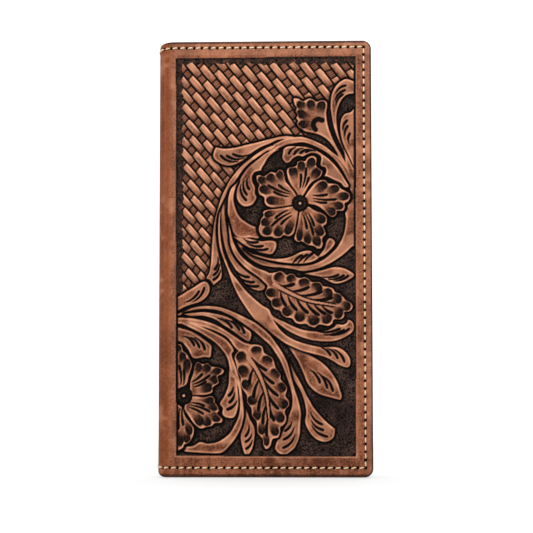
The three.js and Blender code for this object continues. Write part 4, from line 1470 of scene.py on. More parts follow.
@dataclass(frozen=True)
class Wrap:
    """Outer face of one half of the hide: from the middle of the spine, round the fold, to the free edge."""

    half: Half
    spine: float = 4.95
    fold: float = 5.5
    axle: float = -41.0

    @property
    def flat_start(self) -> float:
        """Run at which the cover turns flat."""
        return self.spine + self.fold * math.pi / 2

    def along(self, x: float) -> float:
        """Run of a width on the flat cover."""
        return self.flat_start + x - self.axle

    def place(self, run: Array, rise: Array, depth: Array) -> Array:
        """Points in millimetres of runs, heights and depths below the face.

        Args:
            run: Runs along the face.
            rise: Heights.
            depth: Depths below the face.

        Returns:
            The points.
        """
        turn = np.clip((run - self.spine) / self.fold, 0, math.pi / 2)
        reach = self.fold - depth
        x = self.axle - reach * np.cos(turn) + np.maximum(run - self.flat_start, 0)
        y = np.minimum(run, self.spine) + reach * np.sin(turn)
        return np.stack([x, self.half.value * y, rise + 0 * x], axis=-1)

    def dip(self, run: Array, shoulder: Point) -> Array:
        """How far an edge is drawn in near the spine.

        Args:
            run: Runs along the hide.
            shoulder: Width at which the edge starts to turn in, and how far it does.

        Returns:
            The way in at each run.
        """
        x = self.place(run, 0 * run, 0 * run)[..., 0]
        share = np.clip((shoulder[0] - x) / (shoulder[0] - self.axle + self.fold), 0, 1)
        return shoulder[1] * (1 - np.sqrt(1 - share**2))

    @property
    def bend(self) -> tuple[Vector, Vector]:
        """Ends of the fold in metres, on the spine and on the cover."""
        ends = self.place(np.array([self.spine, self.flat_start]), np.zeros(2), np.zeros(2)) * MM
        return Vector(ends[0]), Vector(ends[1])


@dataclass(frozen=True)
class Flat:
    """A flat face that looks along one level axis, with its run along the other."""

    at: float
    looks: int
    axis: Axis = Axis.Y

    def place(self, run: Array, rise: Array, depth: Array) -> Array:
        """Points in millimetres of runs, heights and depths below the face."""
        level = [run, self.at - self.looks * depth + 0 * run]
        return np.stack([*(level if self.axis is Axis.Y else level[::-1]), rise + 0 * run], axis=-1)


Face = Union[Wrap, Flat]


def store(mesh: bpy.types.Mesh, **values: Array) -> None:
    """Stores values on a mesh's points, by attribute name.

    Args:
        mesh: The mesh.
        **values: One value for each point, by attribute name.
    """
    for name, value in values.items():
        layer = mesh.attributes.new(name, "FLOAT", "POINT")
        layer.data.foreach_set("value", np.ascontiguousarray(value, np.float32).ravel())


def add_object(name: str, data: bpy.types.ID) -> bpy.types.Object:
    """Puts a mesh, a light or a camera into the scene as an object.

    Args:
        name: The object's name.
        data: What it shows.

    Returns:
        The object.
    """
    made = bpy.data.objects.new(name, data)
    bpy.context.scene.collection.objects.link(made)
    return made


def face_outward(mesh: bpy.types.Mesh) -> None:
    """Turns all faces of a closed mesh outward.

    Args:
        mesh: The mesh, which is changed in place.
    """
    worked = bmesh.new()
    worked.from_mesh(mesh)
    bmesh.ops.recalc_face_normals(worked, faces=worked.faces)
    worked.to_mesh(mesh)
    worked.free()


def box_of(node: str) -> tuple[Array, Array]:
    """Low and high corner of a CAD piece, in millimetres to the hundredth."""
    low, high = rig.box(node)
    return np.round(np.array(low) / MM, 2), np.round(np.array(high) / MM, 2)


@dataclass
class Sheet:
    """A closed sheet: a worked outer face, rounded edges, a plain inner face, and a square end if open."""

    name: str
    skin: Skin
    face: Face
    thick: float
    rounding: float
    closed: bool = True
    paint: bool = True

    def loop(self) -> Array:
        """Numbers of the grid's points round its edge, from the lower left.

        Returns:
            The numbers, in order.
        """
        down, across = self.skin.run.shape
        grid = np.arange(down * across).reshape(down, across)
        sides = [grid[0, :], grid[1:, -1], grid[-1, -2::-1]]
        if self.closed:
            sides.append(grid[-2:0:-1, 0])
        return np.concatenate(sides)

    def outward(self, edge: Array) -> Array:
        """Outward directions in the sheet's plane along its edge.

        Args:
            edge: Run and height of the points along the edge.

        Returns:
            One direction for each.
        """
        if self.closed:
            along = np.roll(edge, -1, axis=0) - np.roll(edge, 1, axis=0)
        else:
            along = np.gradient(edge, axis=0)
        out = np.stack([along[:, 1], -along[:, 0]], axis=-1)
        if not self.closed:
            out[[0, -1]] = [[0.0, -1.0], [0.0, 1.0]]
        return out / np.linalg.norm(out, axis=1, keepdims=True)

    def rings(self) -> list[tuple[float, float, float, float]]:
        """Rings round the edge: outward offset, depth, way from the edge along the surface, and paint.

        Returns:
            The rings, from the outer face to the inner one.
        """
        made = []
        r, inner = self.rounding, min(0.5, self.thick - self.rounding - 0.05)
        for step in (1, 2, 3, 4):
            turn = step * math.pi / 8
            made.append((r * math.sin(turn), r * (1 - math.cos(turn)), r * turn, 1.0 if step > 1 else 0.6))
        side = r * math.pi / 2 + self.thick - r - inner
        for step in (0, 1, 2):
            turn = step * math.pi / 4
            offset = r - inner * (1 - math.cos(turn))
            depth = self.thick - inner * (1 - math.sin(turn))
            made.append((offset, depth, side + inner * turn, 1.0 if step < 2 else 0.4))
        return made

    def build(self) -> bpy.types.Object:
        """Makes the sheet's mesh, with its stored values and its unrolled map.

        Returns:
            The sheet as an object.
        """
        skin, down, across = self.skin, *self.skin.run.shape
        grid = np.arange(down * across).reshape(down, across)
        loop = self.loop()
        edge = np.stack([skin.run.ravel()[loop], skin.rise.ravel()[loop]], axis=-1)
        out = self.outward(edge)
        points = [self.face.place(skin.run, skin.rise, skin.depth).reshape(-1, 3)]
        flats = [np.stack([skin.run.ravel(), skin.rise.ravel()], axis=-1)]
        values = {key: [getattr(skin, key).ravel()] for key in ("stain", "light", "rim", "mat", "warm")}
        bands = [loop]
        start = down * across
        for offset, depth, way, paint in self.rings():
            moved = edge + offset * out
            sunk = depth + skin.depth.ravel()[loop] * max(0.0, 1 - way / self.rounding)
            points.append(self.face.place(moved[:, 0], moved[:, 1], sunk))
            flats.append(edge + way * out)
            for key in ("stain", "light", "mat", "warm"):
                values[key].append(getattr(skin, key).ravel()[loop])
            values["rim"].append(np.full(len(loop), paint if self.paint else 0.0))
            bands.append(start + np.arange(len(loop)))
            start += len(loop)
        quads = [np.stack([grid[:-1, :-1], grid[:-1, 1:], grid[1:, 1:], grid[1:, :-1]], -1).reshape(-1, 4)]
        for near, far in zip(bands, bands[1:]):
            follow = [np.roll(b, -1) if self.closed else b[1:] for b in (near, far)]
            size = len(follow[0])
            quads.append(np.stack([near[:size], far[:size], follow[1], follow[0]], -1))
        quads = np.concatenate(quads)
        mesh = self.close(np.concatenate(points) * MM, np.concatenate(flats), quads, bands)
        store(mesh, **{key: np.concatenate(value) for key, value in values.items()})
        return add_object(self.name, mesh)

    def close(self, points: Array, flats: Array, quads: Array,
              bands: list[Array]) -> bpy.types.Mesh:
        """Adds the inner face and the square end, and unrolls everything side by side.

        Args:
            points: All points in metres.
            flats: Their places on the unrolled sheet.
            quads: Faces of the outer side and of the edges.
            bands: Numbers of the points of each ring, the outermost first.

        Returns:
            The closed mesh.
        """
        down, across = self.skin.run.shape
        last = bands[-1].tolist()
        corner = across + down - 2
        low, free, high = last[:across], last[across - 1:corner + 1], last[corner:corner + across][::-1]
        first = 1 if self.closed else 0
        inner = [[low[j], high[j], high[j + 1], low[j + 1]] for j in range(first, across - 2)]
        inner.append([low[-2], high[-2], *free[::-1]])
        if self.closed:
            inner.append([low[1], low[0], *last[:corner + across - 1:-1], high[0], high[1]])
        faces = [*quads.tolist(), *inner]
        if not self.closed:
            tops, feet = [int(b[-1]) for b in bands[1:]], [int(b[0]) for b in bands[1:]]
            faces.append([*range(0, down * across, across), *tops, *feet[::-1]])
        mesh = bpy.data.meshes.new(self.name)
        mesh.from_pydata(points.tolist(), [], faces)
        self.unroll(mesh, flats, points, len(quads), len(inner))
        mesh.polygons.foreach_set("use_smooth", np.arange(len(faces)) < len(quads))
        face_outward(mesh)
        return mesh

    def unroll(self, mesh: bpy.types.Mesh, flats: Array, points: Array, quads: int,
               inner: int) -> None:
        """Maps the outer side and edges, the inner side and the square end next to each other.

        Args:
            mesh: The mesh that gets the map.
            flats: Place of each point on the unrolled sheet.
            points: All points in metres.
            quads: Number of faces of the outer side and edges.
            inner: Number of faces of the inner side.
        """
        corners = np.zeros(len(mesh.loops), int)
        mesh.loops.foreach_get("vertex_index", corners)
        starts = np.zeros(len(mesh.polygons), int)
        mesh.polygons.foreach_get("loop_start", starts)
        where = flats[corners]
        gap = np.ptp(flats[:, 0]) + 1.0
        where[starts[quads]:, 0] += gap
        if quads + inner < len(starts):
            end = starts[quads + inner]
            where[end:, 0] = 2 * gap + (points[corners[end:], 0] - points[:, 0].min()) / MM
        where = (where - where.min(axis=0)) / np.ptp(where, axis=0).max()
        layer = mesh.uv_layers.new(name="OFBake")
        layer.data.foreach_set("uv", (0.005 + 0.99 * where).astype(np.float32).ravel())


@dataclass
class Stitching:
    """Rows of saddle stitches, sewn as one piece: each stitch rises from one hole and sinks in the next."""

    name: str
    radius: float = 0.31
    rings: int = 7
    sides: int = 6
    ends: Point = (0.16, 0.84)
    sunk: float = 0.7
    climb: float = 1.02
    taper: float = 0.45
    squash: float = 0.85
    turns: float = 2.6
    points: list[Array] = field(default_factory=list)
    twists: list[Array] = field(default_factory=list)

    def sew(self, face: Face, holes: Array, slant: float) -> None:
        """Sews one row.

        Args:
            face: The face that the row lies on.
            holes: Run and height of each hole.
            slant: How far each end of a stitch lies to one side of its hole.
        """
        way = np.linspace(0, 1, self.rings)[None, :]
        t = self.ends[0] + (self.ends[1] - self.ends[0]) * way
        along = (holes[1:] - holes[:-1])[:, None, :]
        side = np.stack([-along[..., 1], along[..., 0]], -1) / np.linalg.norm(along, axis=-1, keepdims=True)
        flat = holes[:-1, None, :] + along * t[..., None] + side * (slant * (1 - 2 * t))[..., None]
        arch = np.sin(np.pi * way) ** 0.6
        depth = self.sunk - self.climb * arch + 0 * flat[..., 0]
        centre = face.place(flat[..., 0], flat[..., 1], depth)
        up = face.place(flat[..., 0], flat[..., 1], depth - 1.0) - centre
        ahead = np.gradient(centre, axis=1)
        across = np.cross(ahead, up)
        across /= np.linalg.norm(across, axis=-1, keepdims=True)
        lift = np.cross(across, ahead)
        lift /= np.linalg.norm(lift, axis=-1, keepdims=True)
        angle = np.linspace(0, 2 * np.pi, self.sides, endpoint=False)
        thick = (self.radius * (self.taper + (1 - self.taper) * arch))[..., None, None]
        round_x, round_y = np.cos(angle)[:, None], self.squash * np.sin(angle)[:, None]
        tube = centre[:, :, None] + thick * (round_x * across[:, :, None] + round_y * lift[:, :, None])
        self.points.append(tube.reshape(-1, 3))
        twist = self.turns * t[..., None] + (angle / np.pi) + np.zeros((len(along), 1, 1))
        self.twists.append(twist.ravel())

    def build(self) -> bpy.types.Object:
        """Makes one mesh of all the stitches.

        Returns:
            The stitches as an object.
        """
        points = np.concatenate(self.points) * MM
        ring = np.arange(self.sides)
        step = np.arange(self.rings - 1)[:, None] * self.sides
        near, onward = step + ring, step + (ring + 1) % self.sides
        wall = np.stack([near, onward, onward + self.sides, near + self.sides], -1).reshape(-1, 4)
        size = self.rings * self.sides
        faces: list[list[int]] = []
        for base in range(0, len(points), size):
            faces.extend((wall + base).tolist())
            faces.append((base + ring[::-1]).tolist())
            faces.append((base + size - self.sides + ring).tolist())
        mesh = bpy.data.meshes.new(self.name)
        mesh.from_pydata(points.tolist(), [], faces)
        mesh.polygons.foreach_set("use_smooth", np.ones(len(faces), bool))
        store(mesh, twist=np.concatenate(self.twists))
        face_outward(mesh)
        made = add_object(self.name, mesh)
        made.data.materials.append(CREAM.dress())
        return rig.slot(made, Slot.THREAD.value)


# Where the top and the foot of the covers start to turn in towards the spine, and how far they do.
TOP_SHOULDER = (-38.5, 1.4)
FOOT_SHOULDER = (-43.5, 2.0)


def row(start: Point, end: Point, count: int) -> Array:
    """Holes of a straight row of a number of stitches."""
    return np.linspace(start, end, count + 1)


@dataclass(frozen=True)
class CoverSeam:
    """The stitching along the top, free and bottom edges of a cover."""

    wrap: Wrap
    top: float = 187.1
    foot: float = 4.1
    free: float = 43.2
    across: int = 29
    upward: int = 54
    slant: float = -0.25
    follow: Point = (0.8, 0.3)

    def rows(self) -> list[tuple[Array, float]]:
        """The three rows of holes, with the slant of their stitches.

        Returns:
            Holes and slant of the upper, the lower and the upright row.
        """
        end = self.wrap.along(self.free)
        run = np.linspace(0, end, self.across + 1)
        upper = np.stack([run, self.top - self.follow[0] * self.wrap.dip(run, TOP_SHOULDER)], -1)
        lower = np.stack([run, self.foot + self.follow[1] * self.wrap.dip(run, FOOT_SHOULDER)], -1)
        upright = row((end, self.foot), (end, self.top), self.upward)
        return [(upper, self.slant), (lower, self.slant), (upright, 0.0)]


@dataclass
class Cover:
    """The outer leather of one half, worked on its outside and rolled half way round the spine."""

    half: Half
    name: str
    nodes: tuple[str, ...]
    body: str
    finish: Leather
    slot: Slot
    fine: float
    thick: float = 2.2
    rounding: float = 0.9
    corner: Point = (42.7, 3.8)
    tall: float = 190.0
    free: float = 46.5
    field_x: Point = (-39.9, 40.2)
    field_z: Point = (8.2, 183.9)
    roll_columns: int = 30
    corner_columns: int = 11
    foot_rows: int = 27
    head_rows: int = 20

    def skin(self) -> Skin:
        """Plain skin of the cover, with its rounded corners and drawn-in spine.

        Returns:
            The grid, fine over the tooled field.
        """
        wrap = Wrap(self.half)
        (left, right), (foot, top) = self.field_x, self.field_z
        centre, radius = self.corner[0], self.corner[1] - self.rounding
        arc = centre + radius * np.sin(np.linspace(0, math.pi / 2, self.corner_columns)[1:])
        plain = np.linspace(right, centre, self.corner_columns)
        x = np.concatenate([np.arange(left, right, self.fine), plain, arc])
        rolled = np.linspace(0, wrap.along(left), self.roll_columns)[:-1]
        run = np.concatenate([rolled, wrap.along(0.0) + x])
        beyond = np.clip(run - wrap.along(centre), 0, radius)
        turned = self.corner[1] - np.sqrt(radius**2 - beyond**2)
        below = np.linspace(self.rounding, foot, self.foot_rows)[:-1]
        above = np.linspace(top, self.tall - self.rounding, self.head_rows)
        rows = np.concatenate([below, np.arange(foot, top, self.fine), above])
        share = (rows - rows[0]) / (rows[-1] - rows[0])
        low = turned + wrap.dip(run, FOOT_SHOULDER)
        high = self.tall - turned - wrap.dip(run, TOP_SHOULDER)
        return Skin.blank(run, low, high, share)

    def tool(self, skin: Skin) -> None:
        """Works the tooled field into a skin.

        Args:
            skin: The cover's skin, which is changed in place.
        """
        wrap = Wrap(self.half)
        hair = np.array([-0.05, 0.05])
        columns = slice(*np.searchsorted(skin.run[0], self.field_x + hair + wrap.along(0.0)))
        lines = slice(*np.searchsorted(skin.rise[:, columns.start], self.field_z + hair))
        x = (skin.run[lines, columns] - wrap.along(0.0))[::-1]
        photo = PhotoMap()
        u, v = photo.shares(x, skin.rise[lines, columns][::-1])
        bench = Bench(*photo.pixel(u, v))
        bench.weave(WEAVE)
        bench.border_stamps(left=175.9, top=57.1, foot=309.0)
        for piece in SCROLLS:
            bench.carve(piece)
        for flower in (FLOWER_1, FLOWER_2):
            bench.shade(flower, reach=3.1)
            for piece in flower:
                bench.carve(piece)
        bench.seed(HEART_1, radius=7.6)
        bench.seed(HEART_2, radius=8.2)
        inside = photo.inside(u, v)
        bench.border(inside)
        on = (inside > 0)[::-1]
        glint = 0.03 + 0.24 * smooth(v, 0.985, 1.0) + 0.12 * smooth(u, 0.98, 1.0)
        lip = smooth(inside, 0.1, -0.4) * smooth(inside, -2.0, -0.9)
        skin.light[lines, columns] += (glint * lip)[::-1]
        worked = {"depth": -bench.height, "stain": bench.stain, "light": bench.light, "mat": bench.mat}
        for key, value in worked.items():
            getattr(skin, key)[lines, columns][on] = value[::-1][on]

    def tone_border_and_highlight(self, skin: Skin, wrap: Wrap) -> None:
        """As the photo shows, darkens the border below the field and lightens it near the free edge and beside the
        roll; paints a highlight along the border above the field.

        Args:
            skin: The cover's skin, which is changed in place.
            wrap: Its face.
        """
        flat = smooth(skin.run, wrap.along(-40.5), wrap.along(-38.0))
        skin.stain += 0.22 * flat * smooth(skin.rise, 4.4, 5.6) * smooth(skin.rise, 8.9, 7.9)
        skin.light += 0.12 * smooth(skin.run, wrap.along(41.5), wrap.along(43.5))
        strip = smooth(skin.run, wrap.along(-42.6), wrap.along(-41.4)) * (skin.run < wrap.along(-39.0))
        skin.light += 0.06 * strip
        # Painted highlight along the border above the field.
        skin.light += 0.14 * flat * smooth(skin.rise, 183.4, 184.2)

    def build(self) -> bpy.types.Object:
        """Makes the cover and lets it bend round its fold.

        Returns:
            The cover as an object.
        """
        wrap, skin = Wrap(self.half), self.skin()
        skin.season(seed=41 if self.half is Half.FRONT else 57, wave=0.06)
        if self.half is Half.FRONT:
            self.tool(skin)
        for holes, _ in CoverSeam(wrap).rows():
            skin.pierce(holes, radius=0.7, deep=0.75)
        rolled = (skin.run - wrap.spine) / (wrap.flat_start - wrap.spine)
        roll = smooth(rolled, 0.0, 0.45) * smooth(rolled, 1.15, 0.75) * (skin.run < wrap.along(-39.5))
        skin.stain += 0.1 * roll
        skin.warm = 0.65 * smooth(skin.run, wrap.along(-40.0), wrap.along(-42.5))
        if self.half is Half.FRONT:
            self.tone_border_and_highlight(skin, wrap)
        from_free, from_top = wrap.along(self.free) - skin.run, self.tall - skin.rise
        # Dark edge paint along the foot, free edge and top; the wider band along the foot is partly painted shade.
        skin.rim = np.maximum(0.9 * smooth(skin.rise, 1.7, 0.9), 0.8 * smooth(from_free, 0.75, 0.35))
        skin.rim = np.maximum(skin.rim, 0.8 * smooth(from_top, 1.3, 0.9))
        made = Sheet(self.name, skin, wrap, self.thick, self.rounding, closed=False).build()
        made.data.materials.append(self.finish.dress())
        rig.blend(made, "spine", self.body, *wrap.bend)
        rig.replaces(made, *self.nodes)
        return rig.slot(made, self.slot.value)

    def stitch(self) -> bpy.types.Object:
        """Sews the cover's three edges.

        Returns:
            The stitches as an object.
        """
        wrap = Wrap(self.half)
        thread = Stitching(self.name.replace("leather", "stitches"))
        for holes, slant in CoverSeam(wrap).rows():
            thread.sew(wrap, holes, slant)
        made = thread.build()
        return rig.blend(made, "spine", self.body, *wrap.bend)


@dataclass(frozen=True)
class Panel:
    """A thin flat sheet inside the wallet, with its place and sizes from its CAD piece."""

    node: str
    body: str
    looks: int
    corners: Point = (0.0, 0.0)
    crease: float = 0.0
    wave: float = 0.08
    rounding: float = 0.25
    suffix: str = "hide"
    axis: Axis = Axis.Y
    inset: float = 0.0

    @property
    def box(self) -> tuple[Array, Array]:
        """Low and high corner of the panel, from its CAD piece.

        Returns:
            Run, place along the axis that it looks along, and height of each corner.
        """
        low, high = (corner[[1 - self.axis.value, self.axis.value, 2]] for corner in box_of(self.node))
        margin = np.array([self.inset, 0.0, 0.0])
        return np.round(low + margin, 2), np.round(high - margin, 2)

    @property
    def face(self) -> Face:
        """The face that looks into the opened wallet."""
        low, high = self.box
        return Flat((low if self.looks < 0 else high)[1], self.looks, self.axis)

    def skin(self) -> Skin:
        """Grid of the panel, fine near its edges, with its crease pressed in.

        Returns:
            The panel's outer face.
        """
        (x0, _, z0), (x1, _, z1) = self.box
        ease, fine, coarse, band = self.rounding, 0.25, 2.0, 4.0
        rim = np.arange(13) * fine
        soft = [max(r - ease, 0.0) for r in self.corners]
        left, right = x0 + ease + soft[0], x1 - ease - soft[1]
        turn = np.linspace(0, math.pi / 2, 7)[1:]
        x = [left - soft[0] * np.sin(turn[::-1])] if soft[0] else []
        x += [left + rim, np.arange(left + band, right - band, coarse), right - rim[::-1]]
        x += [right + soft[1] * np.sin(turn)] if soft[1] else []
        run = np.concatenate(x)
        lift = np.zeros_like(run)
        for end, size, way in ((left, soft[0], -1), (right, soft[1], 1)):
            past = np.clip((run - end) * way, 0, size)
            lift += size - np.sqrt(size**2 - past**2)
        middle = np.arange(z0 + band, z1 - band, coarse)
        rows = np.concatenate([z0 + ease + rim, middle, z1 - ease - rim[::-1]])
        share = (rows - rows[0]) / (rows[-1] - rows[0])
        made = Skin.blank(run, z0 + ease + lift, z1 - ease - lift, share)
        made.season(100 + len(self.node) + int(x1), self.wave)
        if self.crease:
            made.press_line(np.abs(made.run - x0 - self.crease), width=0.5, deep=0.16, stain=0.7)
        return made

    def build(self, finish: Leather | Cloth, slot: Slot) -> bpy.types.Object:
        """Makes the panel in place of its node.

        Args:
            finish: Its look.
            slot: Its material slot.

        Returns:
            The panel as an object.
        """
        painted = isinstance(finish, Leather)
        name = f"{self.node}_{self.suffix}"
        low, high = self.box
        thick = round(high[1] - low[1], 2)
        made = Sheet(name, self.skin(), self.face, thick, self.rounding, paint=painted).build()
        made.data.materials.append(finish.dress())
        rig.ride(made, self.body)
        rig.replaces(made, self.node)
        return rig.slot(made, slot.value)


@dataclass(frozen=True)
class Softened:
    """A folded or cut-out leather piece: its node's shape with worn, rounded edges."""

    node: str
    body: str
    ease: float
    sharp: float = 0.5

    def build(self) -> bpy.types.Object:
        """Rounds the piece's sharp edges and dresses it in place of its node.

        Returns:
            The piece as an object.
        """
        source = frame["nodes"][self.node]
        worked = bmesh.new()
        worked.from_mesh(source.data)
        worked.transform(source.matrix_world)
        bmesh.ops.remove_doubles(worked, verts=worked.verts, dist=1e-6)
        bmesh.ops.dissolve_limit(worked, angle_limit=0.01, verts=worked.verts, edges=worked.edges)
        sharp = [e for e in worked.edges if e.calc_face_angle(0.0) > self.sharp]
        done = bmesh.ops.bevel(worked, geom=sharp, offset=self.ease * MM, segments=3, profile=0.5,
                               affect="EDGES", clamp_overlap=True)
        for face in done["faces"]:
            face.smooth = True
        bmesh.ops.recalc_face_normals(worked, faces=worked.faces)
        mesh = bpy.data.meshes.new(f"{self.node}_hide")
        worked.to_mesh(mesh)
        worked.free()
        made = add_object(mesh.name, mesh)
        made.data.materials.append(POCKET.dress())
        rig.ride(made, self.body)
        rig.replaces(made, self.node)
        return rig.slot(made, Slot.POCKET.value)


@dataclass(frozen=True)
class CardSide:
    """Inside of the back half: lining, bill gussets, card panel and stepped card pockets."""

    body: str = "back_half"
    looks: int = -1
    steps: tuple[str, ...] = ("rear", "middle", "front")
    gusset_ease: float = 0.3
    seam: tuple[Point, Point] = ((-38.0, 3.0), (43.2, 187.0))
    pocket_rows: tuple[float, ...] = (7.4, 94.7, 182.6)
    pocket_side: float = 39.2
    pitch: float = 3.38
    across: int = 24
    upward: int = 54
    pocket_upward: int = 52

    def panel(self) -> Panel:
        """The panel that carries the pockets."""
        return Panel("card_panel", self.body, self.looks, (0, 3.5), crease=1.6)

    def pockets(self) -> list[Panel]:
        """The pocket sheets, from the rear one to the front one."""
        names = (f"card_pocket_{step}" for step in self.steps)
        return [Panel(name, self.body, self.looks, (1.5, 1.5), crease=1.8) for name in names]

    def build(self) -> Iterator[bpy.types.Object]:
        """Makes each piece of the card side.

        Returns:
            The pieces, one after another.
        """
        cloth = Panel("back_lining", self.body, self.looks, (0, 3.2), wave=0.04, rounding=0.1,
                      suffix="cloth")
        lining = cloth.build(LINING, Slot.LINING)
        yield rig.sheet(lining, (0.0859, 0.1888), "stretched", ["back_leather"])
        for edge in ("bottom", "top", "side"):
            yield Softened(f"bill_gusset_{edge}", self.body, self.gusset_ease).build()
        for sheet in (self.panel(), *self.pockets()):
            yield sheet.build(POCKET, Slot.POCKET)
        yield self.stitch()

    def stitch(self) -> bpy.types.Object:
        """Sews the panel's edges, the pockets' edges and the seam between the two columns.

        Returns:
            All the stitches as one object.
        """
        thread = Stitching("card_stitches", 0.3)
        panel, pockets = self.panel().face, self.pockets()
        (left, low), (right, high) = self.seam
        for z in (low, high):
            thread.sew(panel, row((left, z), (right, z), self.across), slant=0.15)
        thread.sew(panel, row((right, low), (right, high), self.upward), slant=0.0)
        mouths = [*(pocket.box[0][0] for pocket in pockets), self.pocket_side + 0.2]
        for pocket, start, end in zip(pockets, mouths, mouths[1:]):
            for z in self.pocket_rows:
                count = round((end - start) / self.pitch)
                thread.sew(pocket.face, row((start + 1.0, z), (end - 0.6, z), count), slant=0.12)
        foot, _, top = self.pocket_rows
        side = row((self.pocket_side, foot), (self.pocket_side, top), self.pocket_upward)
        thread.sew(pockets[-1].face, side, slant=0.0)
        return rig.ride(thread.build(), self.body)


@dataclass(frozen=True)
class CoinSide:
    """Inside of the front half: lining, coin pocket with its zip, and the card window."""

    body: str = "front_half"
    looks: int = 1
    ease: float = 0.25
    frame_ease: float = 0.22
    seam: tuple[Point, Point] = ((-38.0, 3.0), (43.2, 187.0))
    zip_rows: Point = (-33.3, -22.7)
    zip_span: Point = (6.4, 183.6)
    under_pull: float = 0.25
    window_seam: tuple[Point, Point] = ((-15.7, 50.8), (40.7, 139.2))
    across: tuple[int, int] = (1, 19)
    upward: int = 54
    zip_upward: int = 52
    window_counts: tuple[int, int] = (17, 26)

    def panels(self) -> tuple[Panel, Panel]:
        """The panels on the spine's side and on the free side of the zip."""
        narrow = Panel("coin_panel_narrow", self.body, self.looks)
        return narrow, Panel("coin_panel_wide", self.body, self.looks, (0, 3.5))

    def build(self) -> Iterator[bpy.types.Object]:
        """Makes each piece of the coin side.

        Returns:
            The pieces, one after another.
        """
        cloth = Panel("front_lining", self.body, self.looks, (0, 3.2), wave=0.04, rounding=0.1,
                      suffix="cloth")
        lining = cloth.build(LINING, Slot.LINING)
        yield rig.sheet(lining, (0.0859, 0.1888), "stretched", ["front_leather"])
        for edge in ("bottom", "top", "side"):
            yield Softened(f"coin_gusset_{edge}", self.body, self.ease).build()
        for panel in self.panels():
            yield panel.build(POCKET, Slot.POCKET)
        for end in ("bottom", "top"):
            yield Softened(f"zip_tab_{end}", self.body, self.ease).build()
        yield Softened("window_frame", self.body, self.frame_ease).build()
        for side in ("narrow", "wide"):
            tape = Panel(f"zip_tape_{side}", self.body, self.looks, wave=0.02, rounding=0.12, suffix="cloth")
            yield tape.build(TWILL, Slot.TAPE)
        yield self.stitch()

    def stitch(self) -> bpy.types.Object:
        """Sews the coin panels' edges, both sides of the zip, and the window frame.

        Returns:
            All the stitches as one object.
        """
        thread = Stitching("coin_stitches", 0.3)
        panel, window = (Flat(box_of(name)[1][1], self.looks) for name in ("coin_panel_wide", "window_frame"))
        sunk = Flat(panel.at - self.looks * self.under_pull, self.looks)
        (left, low), (right, high) = self.seam
        narrow, wide = self.zip_rows
        for z in (low, high):
            thread.sew(panel, row((left, z), (narrow, z), self.across[0]), slant=0.15)
            thread.sew(panel, row((wide, z), (right, z), self.across[1]), slant=0.15)
        thread.sew(panel, row((right, low), (right, high), self.upward), slant=0.0)
        for x in self.zip_rows:
            thread.sew(sunk, row((x, self.zip_span[0]), (x, self.zip_span[1]), self.zip_upward), slant=0.0)
        (left, low), (right, high) = self.window_seam
        for z in (low, high):
            thread.sew(window, row((left, z), (right, z), self.window_counts[0]), slant=0.12)
        thread.sew(window, row((right, low), (right, high), self.window_counts[1]), slant=0.0)
        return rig.ride(thread.build(), self.body)


@dataclass(frozen=True)
class SpineInside:
    """Cloth strip inside the spine, a little narrower than its CAD piece."""

    body: str = "spine"
    inset: float = 0.35

    def build(self) -> bpy.types.Object:
        """Makes the strip in place of its node.

        Returns:
            The strip as an object.
        """
        strip = Panel("spine_lining", self.body, 1, wave=0.03, rounding=0.1, suffix="cloth", axis=Axis.X,
                      inset=self.inset)
        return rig.sheet(strip.build(LINING, Slot.LINING), (0.0112, 0.179), "stretched", ["back_leather"])


@dataclass(frozen=True)
class Metalwork:
    """The zip's brass and the window's film, which keep their CAD shapes."""

    brass: tuple[str, ...] = ("zip_teeth_narrow", "zip_teeth_wide", "zip_stop_bottom", "zip_stop_top",
                              "zip_slider", "zip_slider_base", "zip_pull")
    film: str = "window_film"
    ease: float = 0.12

    def dress(self) -> None:
        """Rounds the brass edges and gives each piece its material."""
        metal = BRASS.dress()
        for name in self.brass:
            node = frame["nodes"][name]
            worn = node.modifiers.new("ease", "BEVEL")
            worn.width = self.ease * MM
            worn.segments = 2
            worn.limit_method = "ANGLE"
            node.data.materials.clear()
            node.data.materials.append(metal)
        film = frame["nodes"][self.film]
        film.data.materials.clear()
        film.data.materials.append(CLEAR.dress())


@dataclass(frozen=True)
class Lamp:
    """A square soft light: its place and size in metres, and its power in watts."""

    name: str
    at: tuple[float, float, float]
    size: float
    power: float
    target: tuple[float, float, float] = (0.0, 0.0, 0.09)

    def build(self) -> None:
        """Hangs the light so that it looks at the wallet's middle."""
        data = bpy.data.lights.new(self.name, "AREA")
        data.size = self.size
        data.energy = self.power
        lamp = add_object(self.name, data)
        lamp.location = self.at
        lamp.rotation_euler = (Vector(self.target) - lamp.location).to_track_quat("-Z", "Y").to_euler()
        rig.stage(lamp)


